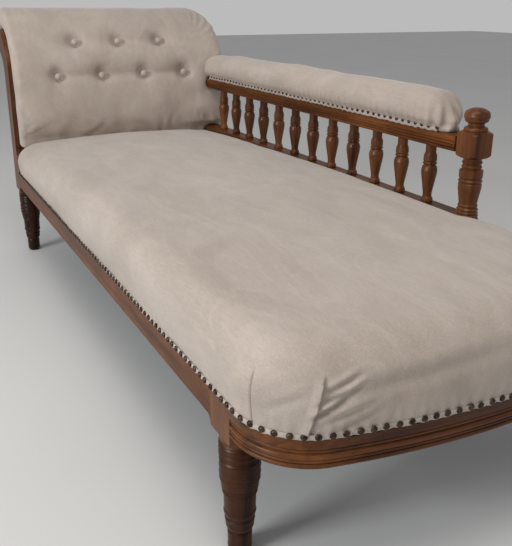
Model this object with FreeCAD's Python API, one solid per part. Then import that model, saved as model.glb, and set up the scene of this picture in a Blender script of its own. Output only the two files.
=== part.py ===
import FreeCAD, Part
import math
import os

# Fainting couch with a scrolled head, a spindle gallery along the back and a round reeded foot.
# Millimetres. X runs from the head (-) to the foot (+), Y from the open front (-) to the
# gallery (+), Z up from the floor. The origin is the middle of the outline on the floor.

# Overall sizes
overall_length = 1830.0
frame_depth = 660.0
crest_height = 731.0
scroll_overhang = 135.0
head_side_bulge = 14.0

# Seat frame
rail_bottom = 214.0
rail_height = 80.0
rail_thickness = 46.0
show_wood_height = 42.0
fabric_rebate = 8.0
foot_corner_radius = 105.0
foot_bow_radius = 1200.0
bracket_radius = 12.0
bracket_depth = 11.0
tenon_thickness = 14.0
tenon_length = 18.0
tenon_height = 50.0
joint_clearance = 0.15

# Legs
leg_block = 61.0
leg_block_drop = 14.0
foot_straight = 11.6
leg_top_radius = 30.2
leg_shoulder_radius = 29.2
leg_calf_radius = 24.0
leg_ankle_radius = 20.6
leg_toe_radius = 18.0
leg_sole_radius = 13.0
ring_groove = 1.7

# Head frame
stile_depth = 64.0
stile_thickness = 25.0
stile_flare = 26.0
stile_flare_height = 46.0
stile_show_edge = 10.0
stile_cover = 7.0
hook_inner_radius = 60.0
hook_sweep = 100.0
crest_padding = 62.0
head_rail_height = 40.0
head_rail_depth = 30.0
head_bar_tenon_radius = 10.0
head_joint_depth = 12.0
gallery_tenon_length = 9.0

# Head upholstery
head_pad_thickness = 61.0
head_face_height = 490.0
roll_radius = 76.0
head_cheek_radius = 52.0
head_corner_radius = 75.0
head_corner_inset = 12.0
head_belly_height = 430.0
head_tuck_depth = 28.0
head_tuck_height = 366.0
head_tuck_radius = 44.0
under_pad_height = 335.0
button_radius = 10.5
button_dome = 5.0
button_sink = 15.0
tuft_pit_radius = 24.0
tuft_radius = 64.0
tuft_lip = 5.0
fold_depth = 6.0
fold_radius = 60.0
button_pitch = 131.0
lower_button_height = 543.0
upper_button_height = 641.0
head_strap_width = 50.0
head_strap_count = 4

# Gallery
gallery_inset = 33.0
gallery_base_width = 44.0
gallery_base_height = 28.0
gallery_base_top = 367.0
base_rail_ease = 2.5
gallery_rail_width = 50.0
gallery_rail_height = 29.0
reed_count = 3
reed_pitch = 5.8
reed_depth = 1.6
reed_step = 0.2
reed_swell = 0.4
gallery_opening = 122.0
spindle_count = 12
spindle_pitch = 89.2
first_spindle_gap = 131.0
post_gap = 116.0
spindle_radius = 16.0
spindle_ring_radius = 14.2
spindle_neck_radius = 9.0
spindle_top_neck_radius = 10.6
spindle_pin_radius = 5.0
spindle_pin_length = 10.0
post_block = 50.0
post_block_height = 49.0
post_block_rise = 12.0
post_block_cant = 5.0
post_block_shoulder = 11.0
post_drum_radius = 22.4
post_ring_radius = 20.5
post_neck_radius = 16.8
finial_radius = 23.4
post_pin_radius = 10.0
post_pin_depth = 24.0

# Arm pad
arm_pad_width = 92.0
arm_pad_height = 74.0
arm_pad_strip = 9.0
arm_pad_end_gap = 29.0
arm_pad_head_round = 34.0
arm_pad_foot_round = 50.0

# Seat upholstery
seat_crown_height = 387.0
crown_peak_setback = 565.0
crown_drop_across = 16.5
crown_drop_along = 23.0
seat_shoulder_radius = 58.0
hessian_rise = 24.0
hessian_inset = 30.0
hessian_slope = 65.0
hessian_thickness = 1.2
spring_columns = 8
spring_rows = 3
spring_edge_gap = 23.0
spring_radius = 42.0
spring_waist_radius = 28.0
spring_sides = 8
spring_end_setback = 120.0
strap_width = 50.0
strap_thickness = 1.5
dust_cover_inset = 12.0
dust_cover_thickness = 1.0

# Clearance of soft and thin pieces from what they lie on
seat_gap = 0.3

# Places worked out from the sizes
foot_x = overall_length / 2
head_x = -overall_length / 2
frame_end_x = head_x + scroll_overhang
front_y = -(frame_depth + head_side_bulge) / 2
back_y = front_y + frame_depth
middle_y = (front_y + back_y) / 2
rail_top = rail_bottom + rail_height
show_wood_top = rail_bottom + show_wood_height
block_bottom = rail_bottom - leg_block_drop
head_block_face_x = frame_end_x + leg_block
stile_front_x = frame_end_x + stile_depth
hook_outer_radius = hook_inner_radius + stile_depth
hook_x = frame_end_x - hook_inner_radius
hook_z = crest_height - crest_padding - hook_outer_radius
head_face_x = stile_front_x + head_pad_thickness
roll_x = head_x + roll_radius
roll_z = crest_height - roll_radius
gallery_y = back_y - gallery_inset
gallery_rail_bottom = gallery_base_top + gallery_opening
gallery_rail_top = gallery_rail_bottom + gallery_rail_height
first_spindle_x = stile_front_x + first_spindle_gap
last_spindle_x = first_spindle_x + (spindle_count - 1) * spindle_pitch
post_x = last_spindle_x + post_gap
base_rail_bottom = gallery_base_top - gallery_base_height
base_rail_half = gallery_base_width / 2
hessian_top = rail_top + seat_gap + hessian_rise

# The bow of the foot rail is a wide arc, and each corner is an arc tangent to it.
bow_x = foot_x - foot_bow_radius
corner_rise = frame_depth / 2 - foot_corner_radius
corner_x = bow_x + math.sqrt((foot_bow_radius - foot_corner_radius) ** 2 - corner_rise ** 2)
bow_half_angle = math.degrees(math.asin(corner_rise / (foot_bow_radius - foot_corner_radius)))
foot_seam_x = corner_x - foot_straight
foot_leg_x = foot_seam_x - leg_block / 2
foot_block_face_x = foot_leg_x - leg_block / 2

# The front of the head pad is an arc tangent to the roll at the crest.
roll_offset = roll_x - head_face_x
roll_lift = roll_z - head_face_height
head_face_radius = (roll_offset ** 2 + roll_lift ** 2 - roll_radius ** 2) / (-2 * (roll_offset + roll_radius))
head_arc_x = head_face_x - head_face_radius
head_seam_x = head_face_x - head_tuck_depth
cheek_y = back_y + head_side_bulge

# The seat's crown is two shallow arcs through its peak and the named drops.
crown_peak_x = foot_x - crown_peak_setback
crown_reach = crown_peak_x - head_face_x
crown_radius_across = ((frame_depth / 2) ** 2 + crown_drop_across ** 2) / (2 * crown_drop_across)
crown_radius_along = (crown_reach ** 2 + crown_drop_along ** 2) / (2 * crown_drop_along)

UP = FreeCAD.Vector(0, 0, 1)
ALONG = FreeCAD.Vector(1, 0, 0)
ACROSS = FreeCAD.Vector(0, 1, 0)


def point(x, y, z):
    return FreeCAD.Vector(x, y, z)


def box(x0, x1, y0, y1, z0, z1):
    return Part.makeBox(x1 - x0, y1 - y0, z1 - z0, point(x0, y0, z0))


def rod(radius, start, end):
    direction = end.sub(start)
    return Part.makeCylinder(radius, direction.Length, start, direction)


def outline(start, steps, place):
    """Closed wire. A step of two numbers is a straight line to that point, and a step of four is
    an arc through the first pair to the second. place turns a pair of numbers into a point."""
    edges = []
    here = place(*start)
    for step in steps:
        there = place(*step[-2:])
        if len(step) == 2:
            edges.append(Part.makeLine(here, there))
        else:
            edges.append(Part.Arc(here, place(*step[:2]), there).toShape())
        here = there
    if here.distanceToPoint(place(*start)) > 1e-6:
        edges.append(Part.makeLine(here, place(*start)))
    return Part.Wire(edges)


def side_slab(start, steps, y0, y1):
    """Solid with an outline in the XZ plane, from y0 to y1."""
    wire = outline(start, steps, lambda x, z: point(x, y0, z))
    return Part.Face(wire).extrude(point(0, y1 - y0, 0))


def cross_bar(start, steps, x0, x1):
    """Solid with an outline in the YZ plane, from x0 to x1."""
    wire = outline(start, steps, lambda y, z: point(x0, y, z))
    return Part.Face(wire).extrude(point(x1 - x0, 0, 0))


def turned(x, y, base_z, profile):
    """Turning on an upright axis. Each profile entry is a height above base_z, a radius, and how
    far the line from the entry before swells out (+) or hollows in (-)."""
    height, radius, swell = profile[0]
    steps = [(radius, base_z + height)]
    for next_height, next_radius, swell in profile[1:]:
        end = (next_radius, base_z + next_height)
        if swell:
            rise = next_height - height
            growth = next_radius - radius
            span = math.hypot(rise, growth)
            middle_radius = (radius + next_radius) / 2 + swell * rise / span
            middle_height = base_z + (height + next_height) / 2 - swell * growth / span
            steps.append((middle_radius, middle_height) + end)
        else:
            steps.append(end)
        height = next_height
        radius = next_radius
    steps.append((0, base_z + height))
    wire = outline((0, base_z + profile[0][0]), steps, lambda r, z: point(x + r, y, z))
    return Part.Face(wire).revolve(point(x, y, 0), UP, 360)


def mirrored(shape):
    """The same piece on the other side of the seat."""
    return shape.mirror(point(0, middle_y, 0), ACROSS)


def joined(shapes):
    whole = shapes[0]
    for shape in shapes[1:]:
        whole = whole.fuse(shape)
    return whole.removeSplitter()


def without(shape, tools):
    for tool in tools:
        shape = shape.cut(tool)
    return shape


def on_arc(centre_x, centre_z, radius, angle):
    """Point on an arc in the XZ plane, angle in degrees from +X towards +Z."""
    turn = math.radians(angle)
    return (centre_x + radius * math.cos(turn), centre_z + radius * math.sin(turn))


def seat_plan(inset, z, plan_head_x):
    """Outline of the seat seen from above, drawn in from the outer faces by inset."""
    corner_radius = foot_corner_radius - inset
    bow_radius = foot_bow_radius - inset
    corner_y = front_y + foot_corner_radius
    far_corner_y = back_y - foot_corner_radius

    def around(centre_x, centre_y, radius, angle):
        turn = math.radians(angle)
        return (centre_x + radius * math.cos(turn), centre_y + radius * math.sin(turn))

    middle_turn = (-90 - bow_half_angle) / 2
    steps = [
        (corner_x, front_y + inset),
        around(corner_x, corner_y, corner_radius, middle_turn)
        + around(corner_x, corner_y, corner_radius, -bow_half_angle),
        around(bow_x, middle_y, bow_radius, 0)
        + around(bow_x, middle_y, bow_radius, bow_half_angle),
        around(corner_x, far_corner_y, corner_radius, -middle_turn)
        + (corner_x, back_y - inset),
        (plan_head_x, back_y - inset),
    ]
    return outline((plan_head_x, front_y + inset), steps, lambda x, y: point(x, y, z))


def seat_slab(inset, z0, z1, plan_head_x):
    return Part.Face(seat_plan(inset, z0, plan_head_x)).extrude(point(0, 0, z1 - z0))


# Seat frame

def side_tenon(face_x, direction, grow):
    """Tenon on the front rails, from a face at face_x; grow widens it into its mortise."""
    inner = rail_thickness / 2 + tenon_thickness / 2 + grow
    outer = rail_thickness / 2 - tenon_thickness / 2 - grow
    low = rail_bottom + (rail_height - tenon_height) / 2 - grow
    tip_x = face_x + direction * (tenon_length + grow)
    x0 = min(face_x, tip_x)
    x1 = max(face_x, tip_x)
    return box(x0, x1, front_y + outer, front_y + inner, low, low + tenon_height + 2 * grow)


def head_tenon(grow):
    """Tenon of the head rail into the front head leg."""
    middle_x = frame_end_x + rail_thickness / 2
    low = rail_bottom + (rail_height - tenon_height) / 2 - grow
    half = tenon_thickness / 2 + grow
    face_y = front_y + leg_block
    return box(middle_x - half, middle_x + half, face_y - tenon_length - grow, face_y,
               low, low + tenon_height + 2 * grow)


def stile_tenon(grow):
    """Tenon of the front stile down into its leg."""
    x0 = frame_end_x + tenon_length - grow
    x1 = stile_front_x - tenon_length + grow
    y0 = front_y + stile_thickness / 2 - tenon_thickness / 4 - grow
    y1 = front_y + stile_thickness / 2 + tenon_thickness / 4 + grow
    return box(x0, x1, y0, y1, rail_top - tenon_length - grow, rail_top)


def bracket(face_x, direction):
    """Small curved bracket where a side rail meets a leg block."""
    x0 = min(face_x, face_x - direction * bracket_radius)
    corner = box(x0, x0 + bracket_radius, front_y, front_y + bracket_depth,
                 rail_bottom - bracket_radius, rail_bottom)
    hollow_x = face_x - direction * bracket_radius
    hollow_z = rail_bottom - bracket_radius
    hollow = rod(bracket_radius, point(hollow_x, front_y - 1, hollow_z),
                 point(hollow_x, front_y + bracket_depth + 1, hollow_z))
    return corner.cut(hollow)


def rebate(x0, x1):
    """Step in the outer face of the front rails and leg blocks that the seat cover is tacked in."""
    return box(x0, x1, front_y, front_y + fabric_rebate, show_wood_top, rail_top)


def side_rail(rebate_start):
    """Long front rail: show wood below, and a rebate above it that the fabric is tacked in."""
    body = box(head_block_face_x, foot_block_face_x, front_y, front_y + rail_thickness,
               rail_bottom, rail_top)
    return joined([
        body.cut(rebate(rebate_start, foot_block_face_x)),
        bracket(head_block_face_x, -1),
        bracket(foot_block_face_x, 1),
        side_tenon(head_block_face_x, -1, 0),
        side_tenon(foot_block_face_x, 1, 0),
    ])


def post_pin_hole():
    return rod(post_pin_radius + joint_clearance,
               point(post_x, gallery_y, rail_top - post_pin_depth - joint_clearance),
               point(post_x, gallery_y, gallery_base_top))


# Reeded section of the foot rail: distance out from the fascia, height above the lower edge
reed_outline = [
    (-3.0, 0.0),
    (0.0, 3.4, -2.6, 7.0),
    (-1.6, 8.4),
    (-0.4, 10.2, -1.8, 12.2),
    (0.0, 16.2, -2.8, 20.2),
    (-4.4, 21.6),
    (-4.4, 23.4),
    (-0.6, 25.6, -2.2, 27.6),
    (0.0, 28.8),
    (0.0, show_wood_height),
    (-fabric_rebate, show_wood_height),
    (-fabric_rebate, rail_height),
    (-rail_thickness, rail_height),
]


def reeded_face(place):
    return Part.Face(outline((-rail_thickness, 0.0), reed_outline, place))


def reeded_turn(centre_x, centre_y, radius, start_angle, sweep):
    """Stretch of the foot rail that follows an arc seen from above."""
    turn = math.radians(start_angle)

    def place(out, height):
        reach = radius + out
        return point(centre_x + reach * math.cos(turn), centre_y + reach * math.sin(turn),
                     rail_bottom + height)

    return reeded_face(place).revolve(point(centre_x, centre_y, 0), UP, sweep)


def foot_end_rail():
    """Bowed rail with round corners, reeded on its outer face, from leg to leg."""
    straight_length = corner_x - foot_seam_x
    straight = reeded_face(lambda out, height: point(foot_seam_x, front_y - out, rail_bottom + height))
    straight = straight.extrude(point(straight_length, 0, 0))
    corner_sweep = 90 - bow_half_angle
    corner = reeded_turn(corner_x, front_y + foot_corner_radius, foot_corner_radius, -90, corner_sweep)
    bow = reeded_turn(bow_x, middle_y, foot_bow_radius, -bow_half_angle, 2 * bow_half_angle)
    tenon = side_tenon(foot_seam_x, -1, 0)
    return joined([tenon, straight, corner, bow, mirrored(corner), mirrored(straight), mirrored(tenon)])


def head_seat_rail():
    body = box(frame_end_x, frame_end_x + rail_thickness, front_y + leg_block, back_y - leg_block,
               rail_bottom, rail_top)
    return joined([body, head_tenon(0), mirrored(head_tenon(0))])


# Rings of the leg: distance of each crest below the leg block, its radius less the shoulder's,
# and how far its two grooves lie above and below it
leg_rings = [
    (14.0, 0.9, 2.2),
    (18.6, 0.9, 2.2),
    (25.0, 1.0, 3.2),
    (32.0, 1.1, 3.4),
    (38.0, 0.5, 2.4),
    (43.0, 0.4, 2.4),
    (53.0, 0.7, 3.6),
    (63.4, 0.6, 3.6),
    (73.2, 0.2, 2.2),
    (85.5, -2.0, 2.2),
    (91.0, -3.0, 2.2),
    (96.4, -3.8, 2.2),
]


def leg_turning(x, y):
    """Turned leg under the block: toe, dark band, ankle ring, plain calf, then a stack of rings
    that widens upwards. The calf takes up whatever height the rings leave."""
    profile = [
        (0.0, leg_sole_radius, 0),
        (14.0, leg_toe_radius - 0.6, 2.2),
        (34.0, leg_toe_radius, 0),
        (37.0, leg_toe_radius - 1.4, 0),
        (42.0, leg_ankle_radius - 1.2, 0),
        (46.0, leg_ankle_radius, 0),
        (55.0, leg_ankle_radius + 0.6, 0),
        (57.5, leg_ankle_radius + 1.4, 0),
        (60.5, leg_ankle_radius - 0.2, 0),
        (65.0, leg_calf_radius - 2.2, 0),
        (75.0, leg_calf_radius - 1.2, 1.3),
    ]
    for below, step_in, half in reversed(leg_rings):
        height = block_bottom - below
        radius = leg_shoulder_radius + step_in
        profile.append((height - half, radius - ring_groove, 0))
        profile.append((height, radius, 0))
    profile.append((block_bottom - leg_rings[0][0] + leg_rings[0][2], leg_shoulder_radius - 0.8, 0))
    profile.append((block_bottom, leg_top_radius - 0.4, 0))
    return turned(x, y, 0.0, profile)


def front_leg(x, mortises):
    y = front_y + leg_block / 2
    block = box(x - leg_block / 2, x + leg_block / 2, front_y, front_y + leg_block,
                block_bottom, rail_top)
    return without(joined([leg_turning(x, y), block]), mortises)


def head_leg():
    """Leg under the head, with mortises for the side rail, the head rail and the stile."""
    mortises = [
        side_tenon(head_block_face_x, -1, joint_clearance),
        head_tenon(joint_clearance),
        stile_tenon(joint_clearance),
    ]
    return front_leg(frame_end_x + leg_block / 2, mortises)


def foot_leg():
    """Leg near the foot, between the side rail and the foot rail."""
    mortises = [
        side_tenon(foot_block_face_x, 1, joint_clearance),
        side_tenon(foot_seam_x, -1, joint_clearance),
        rebate(foot_block_face_x, foot_seam_x),
    ]
    return front_leg(foot_leg_x, mortises)


# Head frame

def hook_steps(offset):
    """Front edge, scroll and back edge of a head stile, grown all round by offset, from the
    bottom of the front edge to the bottom of the back edge."""
    outer = hook_outer_radius + offset
    inner = hook_inner_radius - offset
    middle = (hook_inner_radius + hook_outer_radius) / 2
    tip = on_arc(hook_x, hook_z, middle, hook_sweep)
    tip_side = on_arc(tip[0], tip[1], stile_depth / 2 + offset, hook_sweep + 90)
    return [
        (stile_front_x + offset, hook_z),
        on_arc(hook_x, hook_z, outer, hook_sweep / 2) + on_arc(hook_x, hook_z, outer, hook_sweep),
        tip_side + on_arc(hook_x, hook_z, inner, hook_sweep),
        on_arc(hook_x, hook_z, inner, hook_sweep / 2) + (frame_end_x - offset, hook_z),
        (frame_end_x - offset, rail_top),
    ]


def bar_centre():
    return on_arc(hook_x, hook_z, (hook_inner_radius + hook_outer_radius) / 2, hook_sweep)


def bar_radius():
    return stile_depth / 2 - 2 * (hessian_thickness + strap_thickness)


def bar_hole(grow):
    """Round tenon of the bar in the scroll, at the front stile."""
    x, z = bar_centre()
    face_y = front_y + stile_thickness
    return rod(head_bar_tenon_radius + grow, point(x, face_y - head_joint_depth - grow, z),
               point(x, face_y, z))


def lower_rail_tenon(grow):
    x0 = stile_front_x - head_rail_depth
    z0 = under_pad_height + seat_gap + head_rail_height / 4 - grow
    face_y = front_y + stile_thickness
    return box(x0 + head_rail_depth / 6 - grow, x0 + head_rail_depth * 2 / 3 + grow,
               face_y - head_joint_depth - grow, face_y, z0, z0 + head_rail_height / 2 + 2 * grow)


def gallery_tenon(rail_z0, rail_z1, grow):
    """Tenon of a gallery rail into the back stile."""
    y0 = back_y - stile_thickness + 4.0 - grow
    y1 = gallery_y + base_rail_half - 2.0 + grow
    quarter = (rail_z1 - rail_z0) / 4
    return box(stile_front_x - gallery_tenon_length - grow, stile_front_x, y0, y1,
               rail_z0 + quarter - grow, rail_z1 - quarter + grow)


def front_head_stile():
    """Show-wood stile that flares at its foot and scrolls back at the top."""
    flare_x = stile_front_x + stile_flare
    flare_top = rail_top + stile_flare_height
    flare_mid_x = stile_front_x + stile_flare * 0.29
    flare_mid_z = rail_top + stile_flare_height * 0.29
    steps = [(flare_mid_x, flare_mid_z, stile_front_x, flare_top)] + hook_steps(0)
    body = side_slab((flare_x, rail_top), steps, front_y, front_y + stile_thickness)
    return without(joined([body, stile_tenon(0)]),
                   [bar_hole(joint_clearance), lower_rail_tenon(joint_clearance)])


def back_head_stile():
    """Hidden stile inside the upholstery, which also takes the ends of the gallery rails."""
    body = side_slab((stile_front_x, rail_top), hook_steps(0), back_y - stile_thickness, back_y)
    body = body.common(head_envelope(stile_cover))
    body = joined([body, mirrored(stile_tenon(0))])
    return without(body, [
        mirrored(bar_hole(joint_clearance)),
        mirrored(lower_rail_tenon(joint_clearance)),
        gallery_tenon(base_rail_bottom, gallery_base_top, joint_clearance),
        gallery_tenon(gallery_rail_bottom, gallery_rail_top, joint_clearance),
    ])


def head_top_bar():
    """Round bar in the scroll that the head webbing and the roll are fixed to."""
    x, z = bar_centre()
    bar = rod(bar_radius(), point(x, front_y + stile_thickness, z), point(x, back_y - stile_thickness, z))
    return joined([bar, bar_hole(0), mirrored(bar_hole(0))])


def head_lower_rail():
    x1 = stile_front_x - hessian_thickness - strap_thickness - 2 * seat_gap
    z0 = under_pad_height + seat_gap
    body = box(stile_front_x - head_rail_depth, x1, front_y + stile_thickness,
               back_y - stile_thickness, z0, z0 + head_rail_height)
    return joined([body, lower_rail_tenon(0), mirrored(lower_rail_tenon(0))])


def head_sheet(depth, thickness, y0, y1):
    """Thin sheet that follows the front edge of the stiles, depth behind it."""
    x1 = stile_front_x - depth
    outer = hook_outer_radius - depth
    inner = outer - thickness
    top = hook_sweep - 10.0
    z0 = under_pad_height + seat_gap
    steps = [
        (x1, hook_z),
        on_arc(hook_x, hook_z, outer, top / 2) + on_arc(hook_x, hook_z, outer, top),
        on_arc(hook_x, hook_z, inner, top),
        on_arc(hook_x, hook_z, inner, top / 2) + (x1 - thickness, hook_z),
        (x1 - thickness, z0),
    ]
    return side_slab((x1, z0), steps, y0, y1)


def head_webbing():
    """Upright straps from the lower rail to the bar in the scroll."""
    clear = frame_depth - 2 * stile_thickness
    pitch = clear / head_strap_count
    straps = []
    for index in range(head_strap_count):
        y = front_y + stile_thickness + (index + 0.5) * pitch
        straps.append(head_sheet(hessian_thickness + 2 * seat_gap, strap_thickness,
                                 y - head_strap_width / 2, y + head_strap_width / 2))
    return Part.makeCompound(straps)


def head_hessian():
    return head_sheet(seat_gap, hessian_thickness, front_y + stile_thickness + seat_gap,
                      back_y - stile_thickness - seat_gap)


def outside_back_cover():
    """Cloth over the back of the head frame, tacked to the stiles and the head rail."""
    near = frame_end_x - seat_gap
    far = near - 2 * hessian_thickness
    inner = hook_inner_radius - seat_gap
    top = hook_sweep - 6.0
    steps = [
        (near, hook_z),
        on_arc(hook_x, hook_z, inner, top / 2) + on_arc(hook_x, hook_z, inner, top),
        on_arc(hook_x, hook_z, inner - 2 * hessian_thickness, top),
        on_arc(hook_x, hook_z, inner - 2 * hessian_thickness, top / 2) + (far, hook_z),
        (far, show_wood_top),
    ]
    return side_slab((near, show_wood_top), steps, front_y + 2.0, back_y + head_side_bulge - 2.0)


# Head upholstery

def head_envelope(inset):
    """What the gallery side and the top of the head stay within, seen along the couch: the side
    leans in above its belly and rounds over to the crest."""
    side_y = cheek_y - head_corner_inset
    side_z = crest_height - head_corner_radius
    shift = head_corner_radius * math.sqrt(0.5)
    reach = head_corner_radius - inset
    centre_y = side_y - head_corner_radius
    steps = [
        (cheek_y - inset, head_belly_height),
        (side_y - inset, side_z),
        (centre_y + shift * reach / head_corner_radius, side_z + shift * reach / head_corner_radius,
         centre_y, crest_height - inset),
        (front_y - 1.0, crest_height - inset),
        (front_y - 1.0, rail_top - tenon_length),
    ]
    return cross_bar((cheek_y - inset, rail_top - tenon_length), steps, head_x - 1.0, head_face_x + 1.0)


def head_plan():
    """What the head stays within from above: the cheek between its face and its side is round."""
    centre_x = head_face_x - head_cheek_radius
    centre_y = cheek_y - head_cheek_radius
    shift = head_cheek_radius * math.sqrt(0.5)
    steps = [
        (head_face_x, centre_y),
        (centre_x + shift, centre_y + shift, centre_x, cheek_y),
        (head_x - 1.0, cheek_y),
        (head_x - 1.0, front_y),
    ]
    wire = outline((head_face_x, front_y), steps, lambda x, y: point(x, y, rail_top))
    return Part.Face(wire).extrude(point(0, 0, crest_height))


def head_pad_slab(y0, y1):
    """The whole upholstered head from the side: upright face that rolls in above the seat, crest
    roll and tuck at the back."""
    face_angle = math.degrees(math.atan2(roll_z - head_face_height, roll_x - head_arc_x))
    hook_end = on_arc(hook_x, hook_z, hook_inner_radius, hook_sweep)
    tuck_turn = math.degrees(math.acos(1 - head_tuck_depth / head_tuck_radius))
    tuck_top = head_tuck_height + head_tuck_radius * math.sin(math.radians(tuck_turn))
    tuck_centre_x = head_face_x - head_tuck_radius
    steps = [
        (head_seam_x, head_tuck_height),
        on_arc(tuck_centre_x, tuck_top, head_tuck_radius, -tuck_turn / 2) + (head_face_x, tuck_top),
        (head_face_x, head_face_height),
        on_arc(head_arc_x, head_face_height, head_face_radius, face_angle / 2)
        + on_arc(head_arc_x, head_face_height, head_face_radius, face_angle),
        on_arc(roll_x, roll_z, roll_radius, (face_angle + 225.0) / 2)
        + on_arc(roll_x, roll_z, roll_radius, 225.0),
        hook_end,
        on_arc(hook_x, hook_z, hook_inner_radius, hook_sweep / 2) + (frame_end_x, hook_z),
        (frame_end_x, rail_top + seat_gap),
        (stile_front_x, rail_top + seat_gap),
        (stile_front_x, under_pad_height + seat_gap),
    ]
    return side_slab((head_seam_x, under_pad_height + seat_gap), steps, y0, y1)


def button_places():
    """Two staggered rows: a button's place on the face, and the direction the face looks."""
    places = []
    for height, count in ((lower_button_height, 4), (upper_button_height, 3)):
        angle = math.degrees(math.asin((height - head_face_height) / head_face_radius))
        for index in range(count):
            y = middle_y + (index - (count - 1) / 2) * button_pitch
            x, z = on_arc(head_arc_x, head_face_height, head_face_radius, angle)
            direction = point(math.cos(math.radians(angle)), 0, math.sin(math.radians(angle)))
            places.append((point(x, y, z), direction))
    return places


def tuft(place, direction):
    """Dimple that a button pulls into the pad: a steep pit in a wide shallow dish."""
    depth = button_sink + seat_gap
    pit = Part.makeCone(button_radius + seat_gap, tuft_pit_radius, depth - tuft_lip,
                        place - direction * depth, direction)
    dish = Part.makeCone(tuft_pit_radius, tuft_radius, 2 * tuft_lip, place - direction * tuft_lip, direction)
    return pit.fuse(dish)


def fold(height, count):
    """Soft valley along a row, from its first button to its last."""
    angle = math.degrees(math.asin((height - head_face_height) / head_face_radius))
    half = (count - 1) / 2 * button_pitch
    x, z = on_arc(head_arc_x, head_face_height, head_face_radius + fold_radius - fold_depth, angle)
    ends = [point(x, middle_y - half, z), point(x, middle_y + half, z)]
    return joined([rod(fold_radius, ends[0], ends[1])] + [Part.makeSphere(fold_radius, end) for end in ends])


def head_pad():
    y0 = front_y + stile_show_edge
    slab = head_pad_slab(y0, cheek_y).common(head_envelope(0.0)).common(head_plan())
    frame = side_slab((stile_front_x + seat_gap, rail_top), hook_steps(seat_gap), y0 - 1.0, back_y + seat_gap)
    frame = frame.common(head_envelope(stile_cover - seat_gap))
    tools = [frame]
    tools += [tuft(place, direction) for place, direction in button_places()]
    tools += [fold(lower_button_height, 4), fold(upper_button_height, 3)]
    tools += [gallery_rail_space(base_rail_bottom, gallery_base_top, gallery_base_width),
              gallery_rail_space(gallery_rail_bottom, gallery_rail_top, gallery_rail_width)]
    return without(slab, tools)


def gallery_rail_space(z0, z1, width):
    """Room that a gallery rail needs where it passes through the upholstery."""
    half = width / 2 + reed_swell + seat_gap
    return box(stile_front_x, head_face_x + tuft_radius, gallery_y - half, gallery_y + half,
               z0 - seat_gap, z1 + seat_gap)


def head_buttons():
    """Covered buttons with a low dome, each at the bottom of its dimple."""
    profile = [
        (0.0, button_radius, 0),
        (2.0, button_radius, 0),
        (2.0 + button_dome * 0.7, button_radius * 0.68, 0),
        (2.0 + button_dome, button_radius * 0.2, 0),
    ]
    buttons = []
    for place, direction in button_places():
        button = turned(0.0, 0.0, 0.0, profile)
        turn = FreeCAD.Rotation(UP, direction)
        button.Placement = FreeCAD.Placement(place - direction * button_sink, turn)
        buttons.append(button)
    return Part.makeCompound(buttons)


# Gallery

def spindle_x(index):
    return first_spindle_x + index * spindle_pitch


def spindle(index):
    """Vase-shaped spindle: base bead, long swelling, ring, ring stack and slim neck. The swelling
    takes up whatever height the rings leave."""
    top = gallery_opening
    ring = top - 44.0
    profile = [
        (-spindle_pin_length, spindle_pin_radius, 0),
        (0.0, spindle_pin_radius, 0),
        (0.0, spindle_neck_radius + 2.0, 0),
        (4.0, spindle_neck_radius + 3.2, 0),
        (9.0, spindle_neck_radius + 2.6, 0),
        (13.0, spindle_neck_radius, 0),
        (20.0, spindle_neck_radius, 0),
        (ring - 20.0, spindle_radius - 0.6, 0),
        (ring - 11.0, spindle_radius, 0),
        (ring - 4.0, spindle_radius - 1.6, 0),
        (ring, spindle_ring_radius - 2.4, 0),
        (ring + 3.0, spindle_ring_radius + 0.4, 0),
        (ring + 6.0, spindle_ring_radius - 2.0, 0),
        (ring + 9.0, spindle_ring_radius - 0.6, 0),
        (ring + 19.0, spindle_ring_radius - 1.2, 0),
        (ring + 25.0, spindle_top_neck_radius, 0),
        (top - 5.0, spindle_top_neck_radius, 0),
        (top, spindle_top_neck_radius + 1.2, 0),
        (top, spindle_pin_radius, 0),
        (top + spindle_pin_length, spindle_pin_radius, 0),
    ]
    return turned(spindle_x(index), gallery_y, gallery_base_top, profile)


def spindle_sockets(z0, z1):
    return [
        rod(spindle_pin_radius + joint_clearance, point(spindle_x(index), gallery_y, z0),
            point(spindle_x(index), gallery_y, z1))
        for index in range(spindle_count)
    ]


def base_rail_blank(grow, z0, z1):
    """Lower rail as a plain bar, rounded about the post at its foot end."""
    half = base_rail_half + grow
    bar = box(stile_front_x, post_x, gallery_y - half, gallery_y + half, z0, z1)
    return joined([bar, rod(half, point(post_x, gallery_y, z0), point(post_x, gallery_y, z1))])


def gallery_base_rail():
    """Lower rail with an eased top edge; the post's pin passes through its round end."""
    bar = base_rail_blank(0, base_rail_bottom, gallery_base_top)
    eased = []
    for edge in bar.Edges:
        middle = edge.valueAt((edge.FirstParameter + edge.LastParameter) / 2)
        if middle.z > gallery_base_top - 1.0 and middle.x > stile_front_x + 1.0:
            eased.append(edge)
    bar = bar.makeChamfer(base_rail_ease, eased)
    bar = bar.fuse(gallery_tenon(base_rail_bottom, gallery_base_top, 0))
    sockets = spindle_sockets(gallery_base_top - spindle_pin_length - joint_clearance, gallery_base_top)
    return without(bar, sockets + [post_pin_hole()])


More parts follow.
